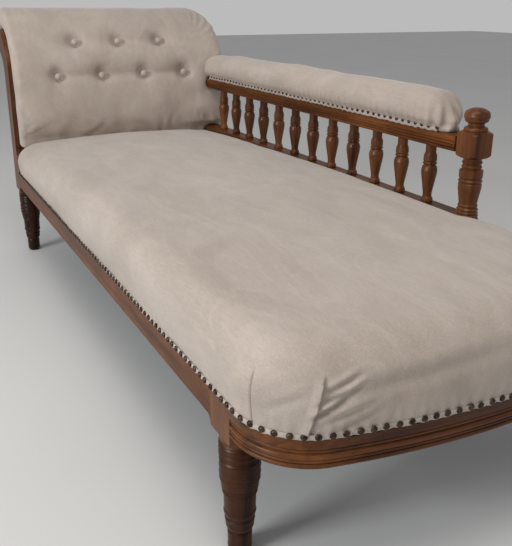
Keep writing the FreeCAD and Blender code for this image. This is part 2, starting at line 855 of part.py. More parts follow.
def gallery_top_rail():
    """Upper rail with a plain fascia over three reeds on both faces."""
    half = gallery_rail_width / 2
    quirk = half - reed_depth
    reeds = [(quirk, 0.0)]
    for index in range(reed_count):
        low = index * reed_pitch
        crest = half + reed_swell - index * reed_step
        reeds.append((crest, low + reed_pitch / 2, quirk, low + reed_pitch))
    reeds += [(half, reed_count * reed_pitch + reed_depth), (half, gallery_rail_height)]
    back = [(-step[0], step[1]) if len(step) == 2 else (-step[0], step[1], -step[2], step[3])
            for step in reeds]
    steps = reeds[1:] + [back[-1]]
    for step, before in zip(back[:0:-1], back[-2::-1]):
        steps.append(step[:2] + before[-2:] if len(step) == 4 else before[-2:])
    bar = cross_bar(reeds[0], steps, stile_front_x, post_x - post_block / 2)
    bar.translate(point(0, gallery_y, gallery_rail_bottom))
    bar = bar.fuse(gallery_tenon(gallery_rail_bottom, gallery_rail_top, 0)).fuse(post_tenon(0))
    sockets = spindle_sockets(gallery_rail_bottom,
                              gallery_rail_bottom + spindle_pin_length + joint_clearance)
    return without(bar, sockets)


def post_tenon(grow):
    """Tenon of the top rail into the block of the end post."""
    face_x = post_x - post_block / 2
    half = gallery_rail_width / 4 + grow
    quarter = gallery_rail_height / 4
    return box(face_x, face_x + head_joint_depth + grow, gallery_y - half, gallery_y + half,
               gallery_rail_bottom + quarter - grow, gallery_rail_top - quarter + grow)


def post_square(z0, z1):
    """Square block with canted corners, whose ends are turned to round shoulders."""
    half = post_block / 2
    block = box(post_x - half, post_x + half, gallery_y - half, gallery_y + half, z0, z1)
    corner_edges = [edge for edge in block.Edges if edge.BoundBox.ZLength > 1.0]
    block = block.makeChamfer(post_block_cant, corner_edges)
    height = z1 - z0
    widest = half * math.sqrt(2.0)
    shoulders = [
        (0.0, post_ring_radius + 1.0, 0),
        (post_block_shoulder, widest, 2.6),
        (height - post_block_shoulder, widest, 0),
        (height, post_ring_radius + 1.0, 2.6),
    ]
    return block.common(turned(post_x, gallery_y, z0, shoulders))


def gallery_end_post():
    """Turned post with a square block for the top rail, a bun finial and a pin at its foot that
    passes through the lower rail into the seat rail."""
    block_top = gallery_rail_top + post_block_rise
    block_low = block_top - post_block_height
    rise = block_low - gallery_base_top
    lower = [
        (-(gallery_base_top - rail_top) - post_pin_depth, post_pin_radius, 0),
        (0.0, post_pin_radius, 0),
        (0.0, post_ring_radius, 0),
        (4.0, post_ring_radius + 0.6, 0),
        (6.0, post_ring_radius - 1.4, 0),
        (9.0, post_ring_radius, 0),
        (11.5, post_ring_radius - 1.6, 0),
        (15.5, post_ring_radius - 0.4, 0),
        (19.0, post_neck_radius + 0.4, 0),
        (22.5, post_neck_radius + 2.0, 0),
        (26.0, post_neck_radius, 0),
        (rise - 58.0, post_drum_radius - 0.8, 0),
        (rise - 50.0, post_drum_radius - 0.6, 0),
        (rise - 48.0, post_drum_radius - 2.2, 0),
        (rise - 44.0, post_drum_radius, 0),
        (rise - 40.0, post_drum_radius - 2.6, 0),
        (rise - 37.0, post_drum_radius - 0.6, 0),
        (rise - 24.0, post_drum_radius - 0.4, 0),
        (rise - 21.0, post_neck_radius + 0.6, 0),
        (rise - 17.0, post_neck_radius + 2.2, 0),
        (rise - 13.0, post_neck_radius - 0.4, 0),
        (rise - 9.0, post_neck_radius + 2.2, 0),
        (rise - 5.0, post_neck_radius - 0.2, 0),
        (rise, post_neck_radius + 0.8, 0),
    ]
    upper = [
        (0.0, post_ring_radius + 1.0, 0),
        (8.0, post_neck_radius + 0.6, 2.4),
        (10.0, post_neck_radius - 2.2, 0),
        (15.0, post_neck_radius - 1.8, 0),
        (22.0, finial_radius - 1.4, 2.0),
        (31.0, finial_radius - 0.6, 1.2),
        (38.0, finial_radius * 0.74, 1.6),
        (42.0, 5.0, 1.0),
    ]
    post = joined([
        turned(post_x, gallery_y, gallery_base_top, lower),
        post_square(block_low, block_top),
        turned(post_x, gallery_y, block_top, upper),
    ])
    return post.cut(post_tenon(joint_clearance))


def arm_pad():
    """Loaf-shaped pad on the top rail, rounded down at both ends, with a longer slope at the foot."""
    base_z = gallery_rail_top + seat_gap
    x0 = head_face_x + seat_gap
    x1 = post_x - post_block / 2 - arm_pad_end_gap

    def section(x, share):
        half_base = (gallery_rail_width / 2 - 1.0) * (0.55 + 0.45 * share)
        half = arm_pad_width / 2 * share
        top = base_z + arm_pad_strip + (arm_pad_height - arm_pad_strip) * share
        swell = base_z + arm_pad_strip + (arm_pad_height - arm_pad_strip) * 0.42 * share
        steps = [
            (half_base, base_z),
            (half_base, base_z + arm_pad_strip),
            (half * 0.94, base_z + arm_pad_strip + 8.0 * share, half, swell),
            (half * 0.82, top - (top - swell) * 0.28, half * 0.36, top - 2.4 * share),
            (0.0, top, -half * 0.36, top - 2.4 * share),
            (-half * 0.82, top - (top - swell) * 0.28, -half, swell),
            (-half * 0.94, base_z + arm_pad_strip + 8.0 * share, -half_base, base_z + arm_pad_strip),
            (-half_base, base_z),
        ]
        return outline((0.0, base_z), steps, lambda y, z: point(x, gallery_y + y, z))

    head_rounding = ((0.0, 0.45), (0.12, 0.66), (0.35, 0.85), (1.0, 1.0))
    foot_rounding = ((1.0, 1.0), (0.76, 0.94), (0.56, 0.82), (0.36, 0.62), (0.16, 0.34), (0.0, 0.18))
    wires = [section(x0 + arm_pad_head_round * reach, share) for reach, share in head_rounding]
    wires += [section(x1 - arm_pad_foot_round * reach, share) for reach, share in foot_rounding]
    return Part.makeLoft(wires, True, True)


# Seat upholstery

def post_pin_space():
    """Room for the pin of the end post in the seat upholstery."""
    return rod(post_pin_radius + seat_gap, point(post_x, gallery_y, rail_top),
               point(post_x, gallery_y, gallery_base_top))


def spring_places():
    first_x = stile_front_x + spring_end_setback
    last_x = foot_block_face_x - strap_width / 2 - 2.0
    outer_row = frame_depth / 2 - hessian_inset - hessian_slope - spring_radius - spring_edge_gap
    places = []
    for column in range(spring_columns):
        x = first_x + (last_x - first_x) * column / (spring_columns - 1)
        for row in range(spring_rows):
            places.append((x, middle_y + outer_row * (2 * row / (spring_rows - 1) - 1)))
    return places


def hessian_frustum(grow, base_z):
    """Stuffing platform over the springs: a low flat-topped mound inside the rails."""
    base = seat_plan(hessian_inset - grow, base_z, frame_end_x + hessian_inset / 2 - grow)
    top = seat_plan(hessian_inset + hessian_slope - grow, hessian_top + grow,
                    frame_end_x + hessian_inset / 2 + hessian_slope - grow)
    return Part.makeLoft([base, top], True, True)


def spring_hessian():
    """Cloth stretched over the springs and tacked on the rails."""
    base_z = rail_top + seat_gap
    cloth = hessian_frustum(0, base_z).cut(hessian_frustum(-hessian_thickness, base_z))
    return cloth.cut(post_pin_space())


def spring_ring(x, y, z, radius):
    corners = []
    for index in range(spring_sides):
        turn = 2 * math.pi * (index + 0.5) / spring_sides
        corners.append(point(x + radius * math.cos(turn), y + radius * math.sin(turn), z))
    return corners


def flat_face(corners):
    return Part.Face(Part.makePolygon(corners + corners[:1]))


def seat_springs():
    """Waisted outer shape of each coil spring, standing on the webbing."""
    low = rail_bottom
    high = hessian_top - hessian_thickness - 2 * seat_gap
    springs = []
    for x, y in spring_places():
        rings = [
            spring_ring(x, y, low, spring_radius),
            spring_ring(x, y, (low + high) / 2, spring_waist_radius),
            spring_ring(x, y, high, spring_radius),
        ]
        faces = [flat_face(rings[0]), flat_face(rings[2])]
        for lower, upper in zip(rings, rings[1:]):
            for index in range(spring_sides):
                after = (index + 1) % spring_sides
                faces.append(flat_face([lower[index], lower[after], upper[after], upper[index]]))
        springs.append(Part.makeSolid(Part.makeShell(faces)))
    return Part.makeCompound(springs)


def seat_webbing():
    """Straps under the rails: one under each column of springs and one under each row."""
    top = rail_bottom - seat_gap
    middle = top - strap_thickness
    half = strap_width / 2
    places = spring_places()
    straps = []
    for x in sorted({place[0] for place in places}):
        straps.append(box(x - half, x + half, front_y + dust_cover_inset, back_y - dust_cover_inset,
                          middle, top))
    for y in sorted({place[1] for place in places}):
        straps.append(box(frame_end_x + dust_cover_inset, foot_x - 3 * dust_cover_inset,
                          y - half, y + half, middle - strap_thickness, middle))
    return Part.makeCompound(straps)


def bottom_dust_cover():
    """Thin cloth under the whole seat, cut around the legs."""
    top = rail_bottom - seat_gap - 2 * strap_thickness
    cover = seat_slab(dust_cover_inset, top - dust_cover_thickness, top, frame_end_x + dust_cover_inset)
    leg_space = leg_block / 2 + 1.0
    leg_y = front_y + leg_block / 2
    tools = []
    for x in (frame_end_x + leg_block / 2, foot_leg_x):
        space = box(x - leg_space, x + leg_space, leg_y - leg_space - 20.0, leg_y + leg_space,
                    block_bottom - 5.0, rail_bottom)
        tools += [space, mirrored(space)]
    return without(cover, tools)


def stile_foot_space(x1):
    """Room for the foot of a head stile at the head corner of the seat."""
    return box(frame_end_x - 10.0, x1 + seat_gap, front_y - 10.0,
               front_y + stile_thickness + seat_gap, show_wood_top - 10.0, seat_crown_height)


def seat_crown():
    """Solid under the crown: a shallow arc across, swept round a wide arc along the couch."""
    reach = frame_depth
    crown_centre_z = seat_crown_height - crown_radius_across
    edge_z = crown_centre_z + math.sqrt(crown_radius_across ** 2 - reach ** 2)
    low = rail_bottom - 60.0
    steps = [
        (middle_y + reach, low),
        (middle_y + reach, edge_z),
        (middle_y, seat_crown_height, middle_y - reach, edge_z),
    ]
    wire = outline((middle_y - reach, low), steps, lambda y, z: point(crown_peak_x, y, z))
    axis = point(crown_peak_x, 0, seat_crown_height - crown_radius_along)
    half_sweep = math.degrees(math.asin(overall_length / crown_radius_along))
    crown = Part.Face(wire).revolve(axis, ACROSS, 2 * half_sweep)
    crown.rotate(axis, ACROSS, -half_sweep)
    return crown


def seat_cushion():
    """Crowned seat stuffing that runs down into the rebate of the rails all round."""
    soft_head_x = frame_end_x + 2.0
    body = seat_slab(0.0, show_wood_top + seat_gap, seat_crown_height + 40.0, soft_head_x)
    body = body.common(seat_crown())
    shoulder = []
    for edge in body.Edges:
        middle_of = edge.BoundBox.Center
        if edge.BoundBox.ZMin > rail_top and middle_of.x > soft_head_x + 1.0:
            shoulder.append(edge)
    body = body.makeFillet(seat_shoulder_radius, shoulder)
    gap = seat_gap
    above = seat_crown_height + 60.0
    under_frame = seat_slab(fabric_rebate - gap, show_wood_top, rail_top + gap, frame_end_x - 10.0)
    under_head = box(frame_end_x - 10.0, head_seam_x + gap, front_y - 10.0, back_y + 10.0,
                     under_pad_height, above)
    stile_foot = stile_foot_space(stile_front_x + stile_flare)
    back_stile_foot = mirrored(stile_foot_space(stile_front_x))
    base_rail = base_rail_blank(gap, base_rail_bottom - gap, above)
    behind_rail = box(stile_front_x, post_x, gallery_y, back_y + 10.0, base_rail_bottom - gap, above)
    tools = [under_frame, hessian_frustum(gap, rail_top + gap), under_head, stile_foot,
             back_stile_foot, base_rail, behind_rail, post_pin_space()]
    return without(body, tools)


def save(name, shape):
    shape.exportStep("parts/" + name + ".step")
    print(name, "solids", len(shape.Solids), "valid", shape.isValid(), "volume cm3",
          round(shape.Volume / 1000))


def main():
    os.makedirs("parts", exist_ok=True)
    save("front_seat_rail", side_rail(stile_front_x + stile_flare))
    save("back_seat_rail", mirrored(side_rail(stile_front_x)).cut(post_pin_hole()))
    save("foot_end_rail", foot_end_rail())
    save("head_seat_rail", head_seat_rail())
    save("front_head_leg", head_leg())
    save("back_head_leg", mirrored(head_leg()))
    save("front_foot_leg", foot_leg())
    save("back_foot_leg", mirrored(foot_leg()))
    save("front_head_stile", front_head_stile())
    save("back_head_stile", back_head_stile())
    save("head_top_bar", head_top_bar())
    save("head_lower_rail", head_lower_rail())
    save("head_webbing", head_webbing())
    save("head_hessian", head_hessian())
    save("head_pad", head_pad())
    save("head_buttons", head_buttons())
    save("outside_back_cover", outside_back_cover())
    save("gallery_base_rail", gallery_base_rail())
    save("gallery_top_rail", gallery_top_rail())
    save("gallery_end_post", gallery_end_post())
    for index in range(spindle_count):
        save("spindle_" + str(index + 1).zfill(2), spindle(index))
    save("arm_pad", arm_pad())
    save("seat_webbing", seat_webbing())
    save("seat_springs", seat_springs())
    save("spring_hessian", spring_hessian())
    save("seat_cushion", seat_cushion())
    save("bottom_dust_cover", bottom_dust_cover())


main()
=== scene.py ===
import math

import bmesh
import bpy
import numpy as np
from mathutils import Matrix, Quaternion, Vector
from mathutils.kdtree import KDTree


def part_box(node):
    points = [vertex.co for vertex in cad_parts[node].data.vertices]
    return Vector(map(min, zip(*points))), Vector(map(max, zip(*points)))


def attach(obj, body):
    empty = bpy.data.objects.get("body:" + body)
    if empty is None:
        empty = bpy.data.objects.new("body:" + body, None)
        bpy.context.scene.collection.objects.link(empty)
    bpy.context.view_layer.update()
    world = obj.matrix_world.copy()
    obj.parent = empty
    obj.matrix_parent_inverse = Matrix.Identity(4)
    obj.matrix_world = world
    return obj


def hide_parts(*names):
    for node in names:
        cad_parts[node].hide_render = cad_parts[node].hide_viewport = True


# A fainting couch with a scrolled, buttoned head, a spindle gallery and a round reeded foot.
# Metres. +X runs from the head to the foot, -Y is the open front, +Z is up.

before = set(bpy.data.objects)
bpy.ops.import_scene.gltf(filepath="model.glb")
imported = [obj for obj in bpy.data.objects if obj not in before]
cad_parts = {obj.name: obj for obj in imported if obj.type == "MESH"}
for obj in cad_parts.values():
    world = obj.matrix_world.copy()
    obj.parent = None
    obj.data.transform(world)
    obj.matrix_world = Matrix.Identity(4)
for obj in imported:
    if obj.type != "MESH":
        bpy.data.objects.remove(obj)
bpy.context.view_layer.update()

# The photograph's frame and the camera that took it
IMAGE_WIDTH = 512
IMAGE_HEIGHT = 546
FOCAL_PIXELS = 719.2
CENTRE_PIXEL = (247.6, 257.7)
CAMERA_PLACE = Vector((1.5052, -0.6810, 0.7540))
CAMERA_HEADING = 2.6733
CAMERA_TILT = 0.3438
CAMERA_ROLL = 0.0054
SENSOR = 36.0

# Upholstery nails and trim
NAIL_RADIUS = 0.0046
NAIL_PITCH = 0.0178
NAIL_ABOVE_WOOD = 0.0055
ARM_NAIL_PITCH = 0.0198
ARM_BASE_HALF = 0.024

# Polish of the wood, by the direction of its grain: the long rails are the most rubbed
WOOD_GLOSS = {"x": 0.09, "y": 0.20, "z": 0.24}

# Cloth simulation of the head and arm covers
CLOTH_FRAMES = 20
CLOTH_PRESSURE = 4.0
HEAD_MOVE_CAP = 0.006
ARM_MOVE_CAP = 0.005

# Unevenness of each cover: size between humps, seed and height
SEAT_WAVES = ((0.21, 3, 0.0011), (0.075, 4, 0.00035))
HEAD_WAVES = ((0.17, 11, 0.0014), (0.06, 12, 0.0005))
ARM_WAVES = ((0.14, 21, 0.0020), (0.05, 23, 0.0006))

# How far the nails draw the cloth in, and how far round each
NAIL_PULL_DEPTH = 0.0014
SEAT_PULL_WIDTH = 0.0060
ARM_PULL_WIDTH = 0.0055

# Seat cover's side, measured up from the show wood
SIDE_TUCK = 0.0006
SIDE_TUCK_FADE = (0.002, 0.030)
SIDE_BELLY = 0.0040
SIDE_BELLY_RISE = 0.048
SIDE_BELLY_WIDTH = 0.030
PUCKER_DEPTH = 0.0006
PUCKER_FADE = (0.008, 0.045)

# Head cover
HEAD_EDGE_RADIUS = 0.018
HEAD_TACKED_HEIGHT = 0.372
CHEEK_BELLY = 0.015
BUTTON_RADIUS = 0.0095
DIMPLE_DEPTH = 0.0058
DIMPLE_WIDTH = 0.017
TUFT_DEPTH = 0.0030
TUFT_WIDTH = 0.050
ROW_VALLEY_DEPTH = 0.0042
ROW_VALLEY_WIDTH = 0.013
ROW_PUFF_HEIGHT = 0.0022
ROW_PUFF_RISE = 0.045
ROW_PUFF_WIDTH = 0.022
CREST_GATHER = 0.0014
TUCK_GATHER = 0.0010

# Arm cover
ARM_STRIP_HEIGHT = 0.009
ARM_PUCKER_DEPTH = 0.0013
ARM_END_GATHER = 0.0028

# Flat cloths
OUTSIDE_THICKNESS = 0.0020
OUTSIDE_STAND_OFF = 0.0012
OUTSIDE_SLACK = 0.0032
HOOK_SWEEP = 94.0
HOOK_RADIUS = 0.0588
HOOK_DROP = 0.124
BOTTOM_GRID = 0.03
BOTTOM_SAG = 0.004

# Light: name, place, size, watts and colour of each lamp, all aimed at the couch's middle
LAMPS = [
    ("overhead", (1.0, -0.7, 3.1), (1.7, 1.7), 35.0, (1.0, 0.955, 0.875)),
    ("front", (0.9, -3.5, 1.6), (1.2, 1.0), 72.0, (0.96, 0.98, 1.0)),
    ("foot_side", (3.4, 0.8, 1.6), (1.6, 1.4), 3.0, (1.0, 0.95, 0.9)),
]
LAMP_TARGET = (0.0, 0.0, 0.4)
WORLD_COLOUR = (0.98, 0.98, 1.0, 1.0)
WORLD_STRENGTH = 0.36
BACKDROP_STRENGTH = 0.62
FLOOR_HALF_SIZE = 14.0

# The show wood below the seat cover, and the plan of the foot
SHOW_WOOD_TOP = 0.256
FOOT_CORNER_RADIUS = 0.105
FOOT_BOW_RADIUS = 1.2
EDGE_LINE_STEP = 0.001

rail_low, rail_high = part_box("foot_end_rail")
head_low, head_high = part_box("head_pad")
arm_low, arm_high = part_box("arm_pad")
front_y = rail_low.y
back_y = rail_high.y
foot_x = rail_high.x
middle_y = (front_y + back_y) / 2

# Plan of the foot: two corner arcs that run into a shallow bow
corner_y = front_y + FOOT_CORNER_RADIUS
bow_x = foot_x - FOOT_BOW_RADIUS
corner_x = bow_x + math.sqrt((FOOT_BOW_RADIUS - FOOT_CORNER_RADIUS) ** 2 - (middle_y - corner_y) ** 2)
bow_half = math.asin((middle_y - corner_y) / (FOOT_BOW_RADIUS - FOOT_CORNER_RADIUS))
corner_length = FOOT_CORNER_RADIUS * (math.pi / 2 - bow_half)


# Mesh helpers

def mesh_object(name, vertices, faces):
    mesh = bpy.data.meshes.new(name)
    mesh.from_pydata([tuple(v) for v in vertices], [], [tuple(f) for f in faces])
    mesh.update()
    thing = bpy.data.objects.new(name, mesh)
    bpy.context.scene.collection.objects.link(thing)
    return thing


def points_of(thing):
    co = np.empty(len(thing.data.vertices) * 3)
    thing.data.vertices.foreach_get("co", co)
    return co.reshape(-1, 3)


def normals_of(thing):
    normals = np.empty(len(thing.data.vertices) * 3)
    thing.data.vertices.foreach_get("normal", normals)
    return normals.reshape(-1, 3)


def move_points(thing, co):
    thing.data.vertices.foreach_set("co", co.ravel())
    thing.data.update()


def shade_smooth(thing):
    thing.data.polygons.foreach_set("use_smooth", [True] * len(thing.data.polygons))
    thing.data.update()


def bake_modifiers(thing):
    """Replaces the mesh by what its modifiers make of it."""
    graph = bpy.context.evaluated_depsgraph_get()
    made = bpy.data.meshes.new_from_object(thing.evaluated_get(graph))
    old = thing.data
    thing.modifiers.clear()
    thing.data = made
    bpy.data.meshes.remove(old)


def copied_node(node, name):
    """A new object with the mesh of a CAD node."""
    thing = bpy.data.objects.new(name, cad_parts[node].data.copy())
    bpy.context.scene.collection.objects.link(thing)
    thing.data.materials.clear()
    return thing


def remeshed(thing, voxel, smoothing):
    """Replaces the mesh by an even one with voxels of this size, and eases its edges."""
    remesh = thing.modifiers.new("remesh", "REMESH")
    remesh.mode = "VOXEL"
    remesh.voxel_size = voxel
    bake_modifiers(thing)
    smooth = thing.modifiers.new("smooth", "CORRECTIVE_SMOOTH")
    smooth.iterations = smoothing
    smooth.use_only_smooth = True
    bake_modifiers(thing)


def subdivided(thing):
    refine = thing.modifiers.new("refine", "SUBSURF")
    refine.levels = 1
    refine.render_levels = 1
    bake_modifiers(thing)


def refined(thing, chosen, cuts):
    """Divides part of a mesh more finely: the edges between two of the chosen points."""
    mesh = bmesh.new()
    mesh.from_mesh(thing.data)
    edges = [edge for edge in mesh.edges if chosen[edge.verts[0].index] and chosen[edge.verts[1].index]]
    bmesh.ops.subdivide_edges(mesh, edges=edges, cuts=cuts, use_grid_fill=True)
    mesh.to_mesh(thing.data)
    mesh.free()
    thing.data.update()


# Materials

def new_material(name):
    material = bpy.data.materials.new(name)
    material.use_nodes = True
    shader = material.node_tree.nodes["Principled BSDF"]
    return material, material.node_tree, shader


def add_node(tree, kind, **settings):
    node = tree.nodes.new(kind)
    for key, value in settings.items():
        if key in node.inputs:
            node.inputs[key].default_value = value
        else:
            setattr(node, key, value)
    return node


def object_points(tree, scale):
    coordinates = add_node(tree, "ShaderNodeTexCoord")
    mapping = add_node(tree, "ShaderNodeMapping", Scale=scale)
    tree.links.new(coordinates.outputs["Object"], mapping.inputs["Vector"])
    return mapping.outputs["Vector"]


def ramp(tree, source, stops):
    node = add_node(tree, "ShaderNodeValToRGB")
    elements = node.color_ramp.elements
    while len(elements) < len(stops):
        elements.new(0.5)
    for element, (position, colour) in zip(elements, stops):
        element.position = position
        element.color = (*colour, 1.0)
    tree.links.new(source, node.inputs["Fac"])
    return node.outputs["Color"]


def mixed(tree, kind, factor, first, second):
    node = add_node(tree, "ShaderNodeMix", data_type="RGBA", blend_type=kind)
    sockets = [s for s in node.inputs if s.enabled]
    for socket, value in zip(sockets, (factor, first, second)):
        if isinstance(value, bpy.types.NodeSocket):
            tree.links.new(value, socket)
        else:
            socket.default_value = value
    return [s for s in node.outputs if s.enabled][0]


def ranged(tree, source, low, high):
    node = add_node(tree, "ShaderNodeMapRange")
    node.inputs["To Min"].default_value = low
    node.inputs["To Max"].default_value = high
    tree.links.new(source, node.inputs["Value"])
    return node.outputs["Result"]


def bumped(tree, shader, height, distance, strength=1.0):
    bump = add_node(tree, "ShaderNodeBump", Distance=distance, Strength=strength)
    tree.links.new(height, bump.inputs["Height"])
    tree.links.new(bump.outputs["Normal"], shader.inputs["Normal"])
    return bump


def polished_wood(name, grain, light=(0.235, 0.085, 0.026), dark=(0.034, 0.010, 0.004), gloss=0.24,
                  painted_leg_shade=False):
    """French-polished reddish-brown hardwood; grain is the axis that the fibres follow. The legs' wood can
    carry painted shade: its colour darkens towards the floor, below the leg's square block, for the shadow
    under the couch."""
    material, tree, shader = new_material(name)
    along = 2.2
    across = 34.0
    scale = [across, across, across]
    scale["xyz".index(grain)] = along
    points = object_points(tree, scale)
    figure = add_node(tree, "ShaderNodeTexNoise", Scale=1.0, Detail=6.0, Roughness=0.62, Distortion=0.6)
    tree.links.new(points, figure.inputs["Vector"])
    colour = ramp(tree, figure.outputs["Fac"], [
        (0.30, dark),
        (0.50, tuple((a + b) / 2 for a, b in zip(light, dark))),
        (0.72, light),
    ])
    pore_scale = [900.0, 900.0, 900.0]
    pore_scale["xyz".index(grain)] = 45.0
    pores = add_node(tree, "ShaderNodeTexNoise", Scale=1.0, Detail=3.0, Roughness=0.55)
    tree.links.new(object_points(tree, pore_scale), pores.inputs["Vector"])
    pore_tone = ramp(tree, pores.outputs["Fac"], [(0.38, (0.55, 0.50, 0.48)), (0.52, (1.0, 1.0, 1.0))])
    colour = mixed(tree, "MULTIPLY", 0.55, colour, pore_tone)
    patches = add_node(tree, "ShaderNodeTexNoise", Scale=1.0, Detail=2.0)
    tree.links.new(object_points(tree, (9.0, 9.0, 9.0)), patches.inputs["Vector"])
    tone = ramp(tree, patches.outputs["Fac"], [(0.32, (0.62, 0.58, 0.56)), (0.68, (1.12, 1.08, 1.04))])
    colour = mixed(tree, "MULTIPLY", 0.8, colour, tone)
    # Painted shade: a darker, purple-tinted colour below the leg's square block stands in for the shadow
    # under the couch
    if painted_leg_shade:
        place = add_node(tree, "ShaderNodeSeparateXYZ")
        tree.links.new(object_points(tree, (1.0, 1.0, 1.0)), place.inputs["Vector"])
        shade = ramp(tree, place.outputs["Z"], [(0.182, (0.36, 0.33, 0.38)), (0.202, (1.0, 1.0, 1.0))])
        colour = mixed(tree, "MULTIPLY", 1.0, colour, shade)
    tree.links.new(colour, shader.inputs["Base Color"])
    tree.links.new(ranged(tree, figure.outputs["Fac"], 0.26, 0.44), shader.inputs["Roughness"])
    shader.inputs["Specular IOR Level"].default_value = gloss
    shader.inputs["Coat Weight"].default_value = 0.2 * gloss
    shader.inputs["Coat Roughness"].default_value = 0.14
    bumped(tree, shader, pores.outputs["Fac"], 0.00012)
    return material


def velvet_material(name, light=(0.510, 0.440, 0.388), dark=(0.430, 0.362, 0.312)):
    """Short-piled velvet: faint brushed streaks, a fine pile and a soft sheen."""
    material, tree, shader = new_material(name)
    patches = add_node(tree, "ShaderNodeTexNoise", Scale=1.0, Detail=5.0, Roughness=0.6, Distortion=0.8)
    tree.links.new(object_points(tree, (5.0, 11.0, 9.0)), patches.inputs["Vector"])
    brushed = ramp(tree, patches.outputs["Fac"], [(0.30, dark), (0.66, light)])
    pile = add_node(tree, "ShaderNodeTexNoise", Scale=1.0, Detail=4.0, Roughness=0.7)
    tree.links.new(object_points(tree, (700.0, 700.0, 700.0)), pile.inputs["Vector"])
    flecks = ramp(tree, pile.outputs["Fac"], [(0.35, (0.86, 0.85, 0.84)), (0.65, (1.06, 1.06, 1.06))])
    colour = mixed(tree, "MULTIPLY", 0.8, brushed, flecks)
    strokes = add_node(tree, "ShaderNodeTexNoise", Scale=1.0, Detail=3.0, Roughness=0.5, Distortion=2.2)
    tree.links.new(object_points(tree, (3.0, 7.0, 6.0)), strokes.inputs["Vector"])
    stroke_tone = ramp(tree, strokes.outputs["Fac"], [
        (0.44, (0.97, 0.97, 0.96)),
        (0.50, (1.05, 1.04, 1.03)),
        (0.56, (0.98, 0.98, 0.98)),
    ])
    colour = mixed(tree, "MULTIPLY", 0.9, colour, stroke_tone)
    threads = add_node(tree, "ShaderNodeTexNoise", Scale=1.0, Detail=2.0, Roughness=0.6)
    tree.links.new(object_points(tree, (60.0, 420.0, 420.0)), threads.inputs["Vector"])
    thread_tone = ramp(tree, threads.outputs["Fac"], [(0.38, (0.93, 0.93, 0.92)), (0.62, (1.03, 1.03, 1.03))])
    colour = mixed(tree, "MULTIPLY", 0.8, colour, thread_tone)
    tree.links.new(colour, shader.inputs["Base Color"])
    tree.links.new(ranged(tree, patches.outputs["Fac"], 0.78, 0.95), shader.inputs["Roughness"])
    shader.inputs["Sheen Weight"].default_value = 0.35
    shader.inputs["Sheen Roughness"].default_value = 0.45
    shader.inputs["Specular IOR Level"].default_value = 0.2
    height = mixed(tree, "MIX", 0.55, patches.outputs["Fac"], pile.outputs["Fac"])
    bumped(tree, shader, height, 0.0005)
    return material


def woven_material(name, light, dark, threads):
    """Plain weave, threads to the metre."""
    material, tree, shader = new_material(name)
    points = object_points(tree, (1.0, 1.0, 1.0))
    heights = []
    for direction in ("X", "Y"):
        wave = add_node(tree, "ShaderNodeTexWave", bands_direction=direction, Scale=threads / 3.1,
                        Distortion=1.5, Detail=2.0)
        wave.inputs["Detail Scale"].default_value = 1.0
        tree.links.new(points, wave.inputs["Vector"])
        heights.append(wave.outputs["Fac"])
    weave = mixed(tree, "MIX", 0.5, heights[0], heights[1])
    tone = add_node(tree, "ShaderNodeTexNoise", Scale=60.0, Detail=4.0)
    tree.links.new(points, tone.inputs["Vector"])
    height = mixed(tree, "MIX", 0.35, weave, tone.outputs["Fac"])
    tree.links.new(ramp(tree, height, [(0.25, dark), (0.75, light)]), shader.inputs["Base Color"])
    shader.inputs["Roughness"].default_value = 0.92
    shader.inputs["Specular IOR Level"].default_value = 0.15
    bumped(tree, shader, height, 0.0005)
    return material


def metal_material(name, light, dark, rough_low, rough_high):
    """Metal with tarnish in patches."""
    material, tree, shader = new_material(name)
    tarnish = add_node(tree, "ShaderNodeTexNoise", Scale=1.0, Detail=4.0)
    tree.links.new(object_points(tree, (160.0, 160.0, 160.0)), tarnish.inputs["Vector"])
    tree.links.new(ramp(tree, tarnish.outputs["Fac"], [(0.35, dark), (0.65, light)]),
                   shader.inputs["Base Color"])
    tree.links.new(ranged(tree, tarnish.outputs["Fac"], rough_low, rough_high),
                   shader.inputs["Roughness"])
    shader.inputs["Metallic"].default_value = 0.85
    bumped(tree, shader, tarnish.outputs["Fac"], 0.0002)
    return material


wood_by_grain = {axis: polished_wood("polished_wood_" + axis, axis, gloss=WOOD_GLOSS[axis]) for axis in "xyz"}
# The legs' wood carries painted shade towards the floor, for the shadow under the couch
leg_wood = polished_wood("polished_wood_leg", "z", gloss=0.17, painted_leg_shade=True)
frame_wood_by_grain = {
    axis: polished_wood("frame_wood_" + axis, axis, light=(0.50, 0.34, 0.19), dark=(0.33, 0.20, 0.10))
    for axis in "yz"
}
velvet = velvet_material("velvet")
gimp_cloth = velvet_material("edge_cloth", light=(0.56, 0.50, 0.45), dark=(0.42, 0.36, 0.31))
jute = woven_material("jute_webbing", (0.42, 0.32, 0.18), (0.20, 0.14, 0.07), 420.0)
hessian = woven_material("hessian", (0.40, 0.30, 0.18), (0.19, 0.13, 0.07), 520.0)
black_cloth = woven_material("black_cloth", (0.020, 0.020, 0.021), (0.008, 0.008, 0.009), 900.0)
nail_metal = metal_material("nail_bronze", (0.100, 0.066, 0.042), (0.026, 0.018, 0.013), 0.26, 0.44)
spring_metal = metal_material("spring_wire", (0.35, 0.20, 0.11), (0.16, 0.10, 0.07), 0.30, 0.50)

NODE_MATERIALS = {
    "front_seat_rail": wood_by_grain["x"],
    "back_seat_rail": wood_by_grain["x"],
    "foot_end_rail": wood_by_grain["y"],
    "head_seat_rail": wood_by_grain["y"],
    "front_head_leg": leg_wood,
    "back_head_leg": leg_wood,
    "front_foot_leg": leg_wood,
    "back_foot_leg": leg_wood,
    "front_head_stile": wood_by_grain["z"],
    "back_head_stile": frame_wood_by_grain["z"],
    "head_top_bar": frame_wood_by_grain["y"],
    "head_lower_rail": frame_wood_by_grain["y"],
    "gallery_base_rail": wood_by_grain["x"],
    "gallery_top_rail": wood_by_grain["x"],
    "gallery_end_post": wood_by_grain["z"],
    "head_webbing": jute,
    "seat_webbing": jute,
    "head_hessian": hessian,
    "spring_hessian": hessian,
    "seat_springs": spring_metal,
}

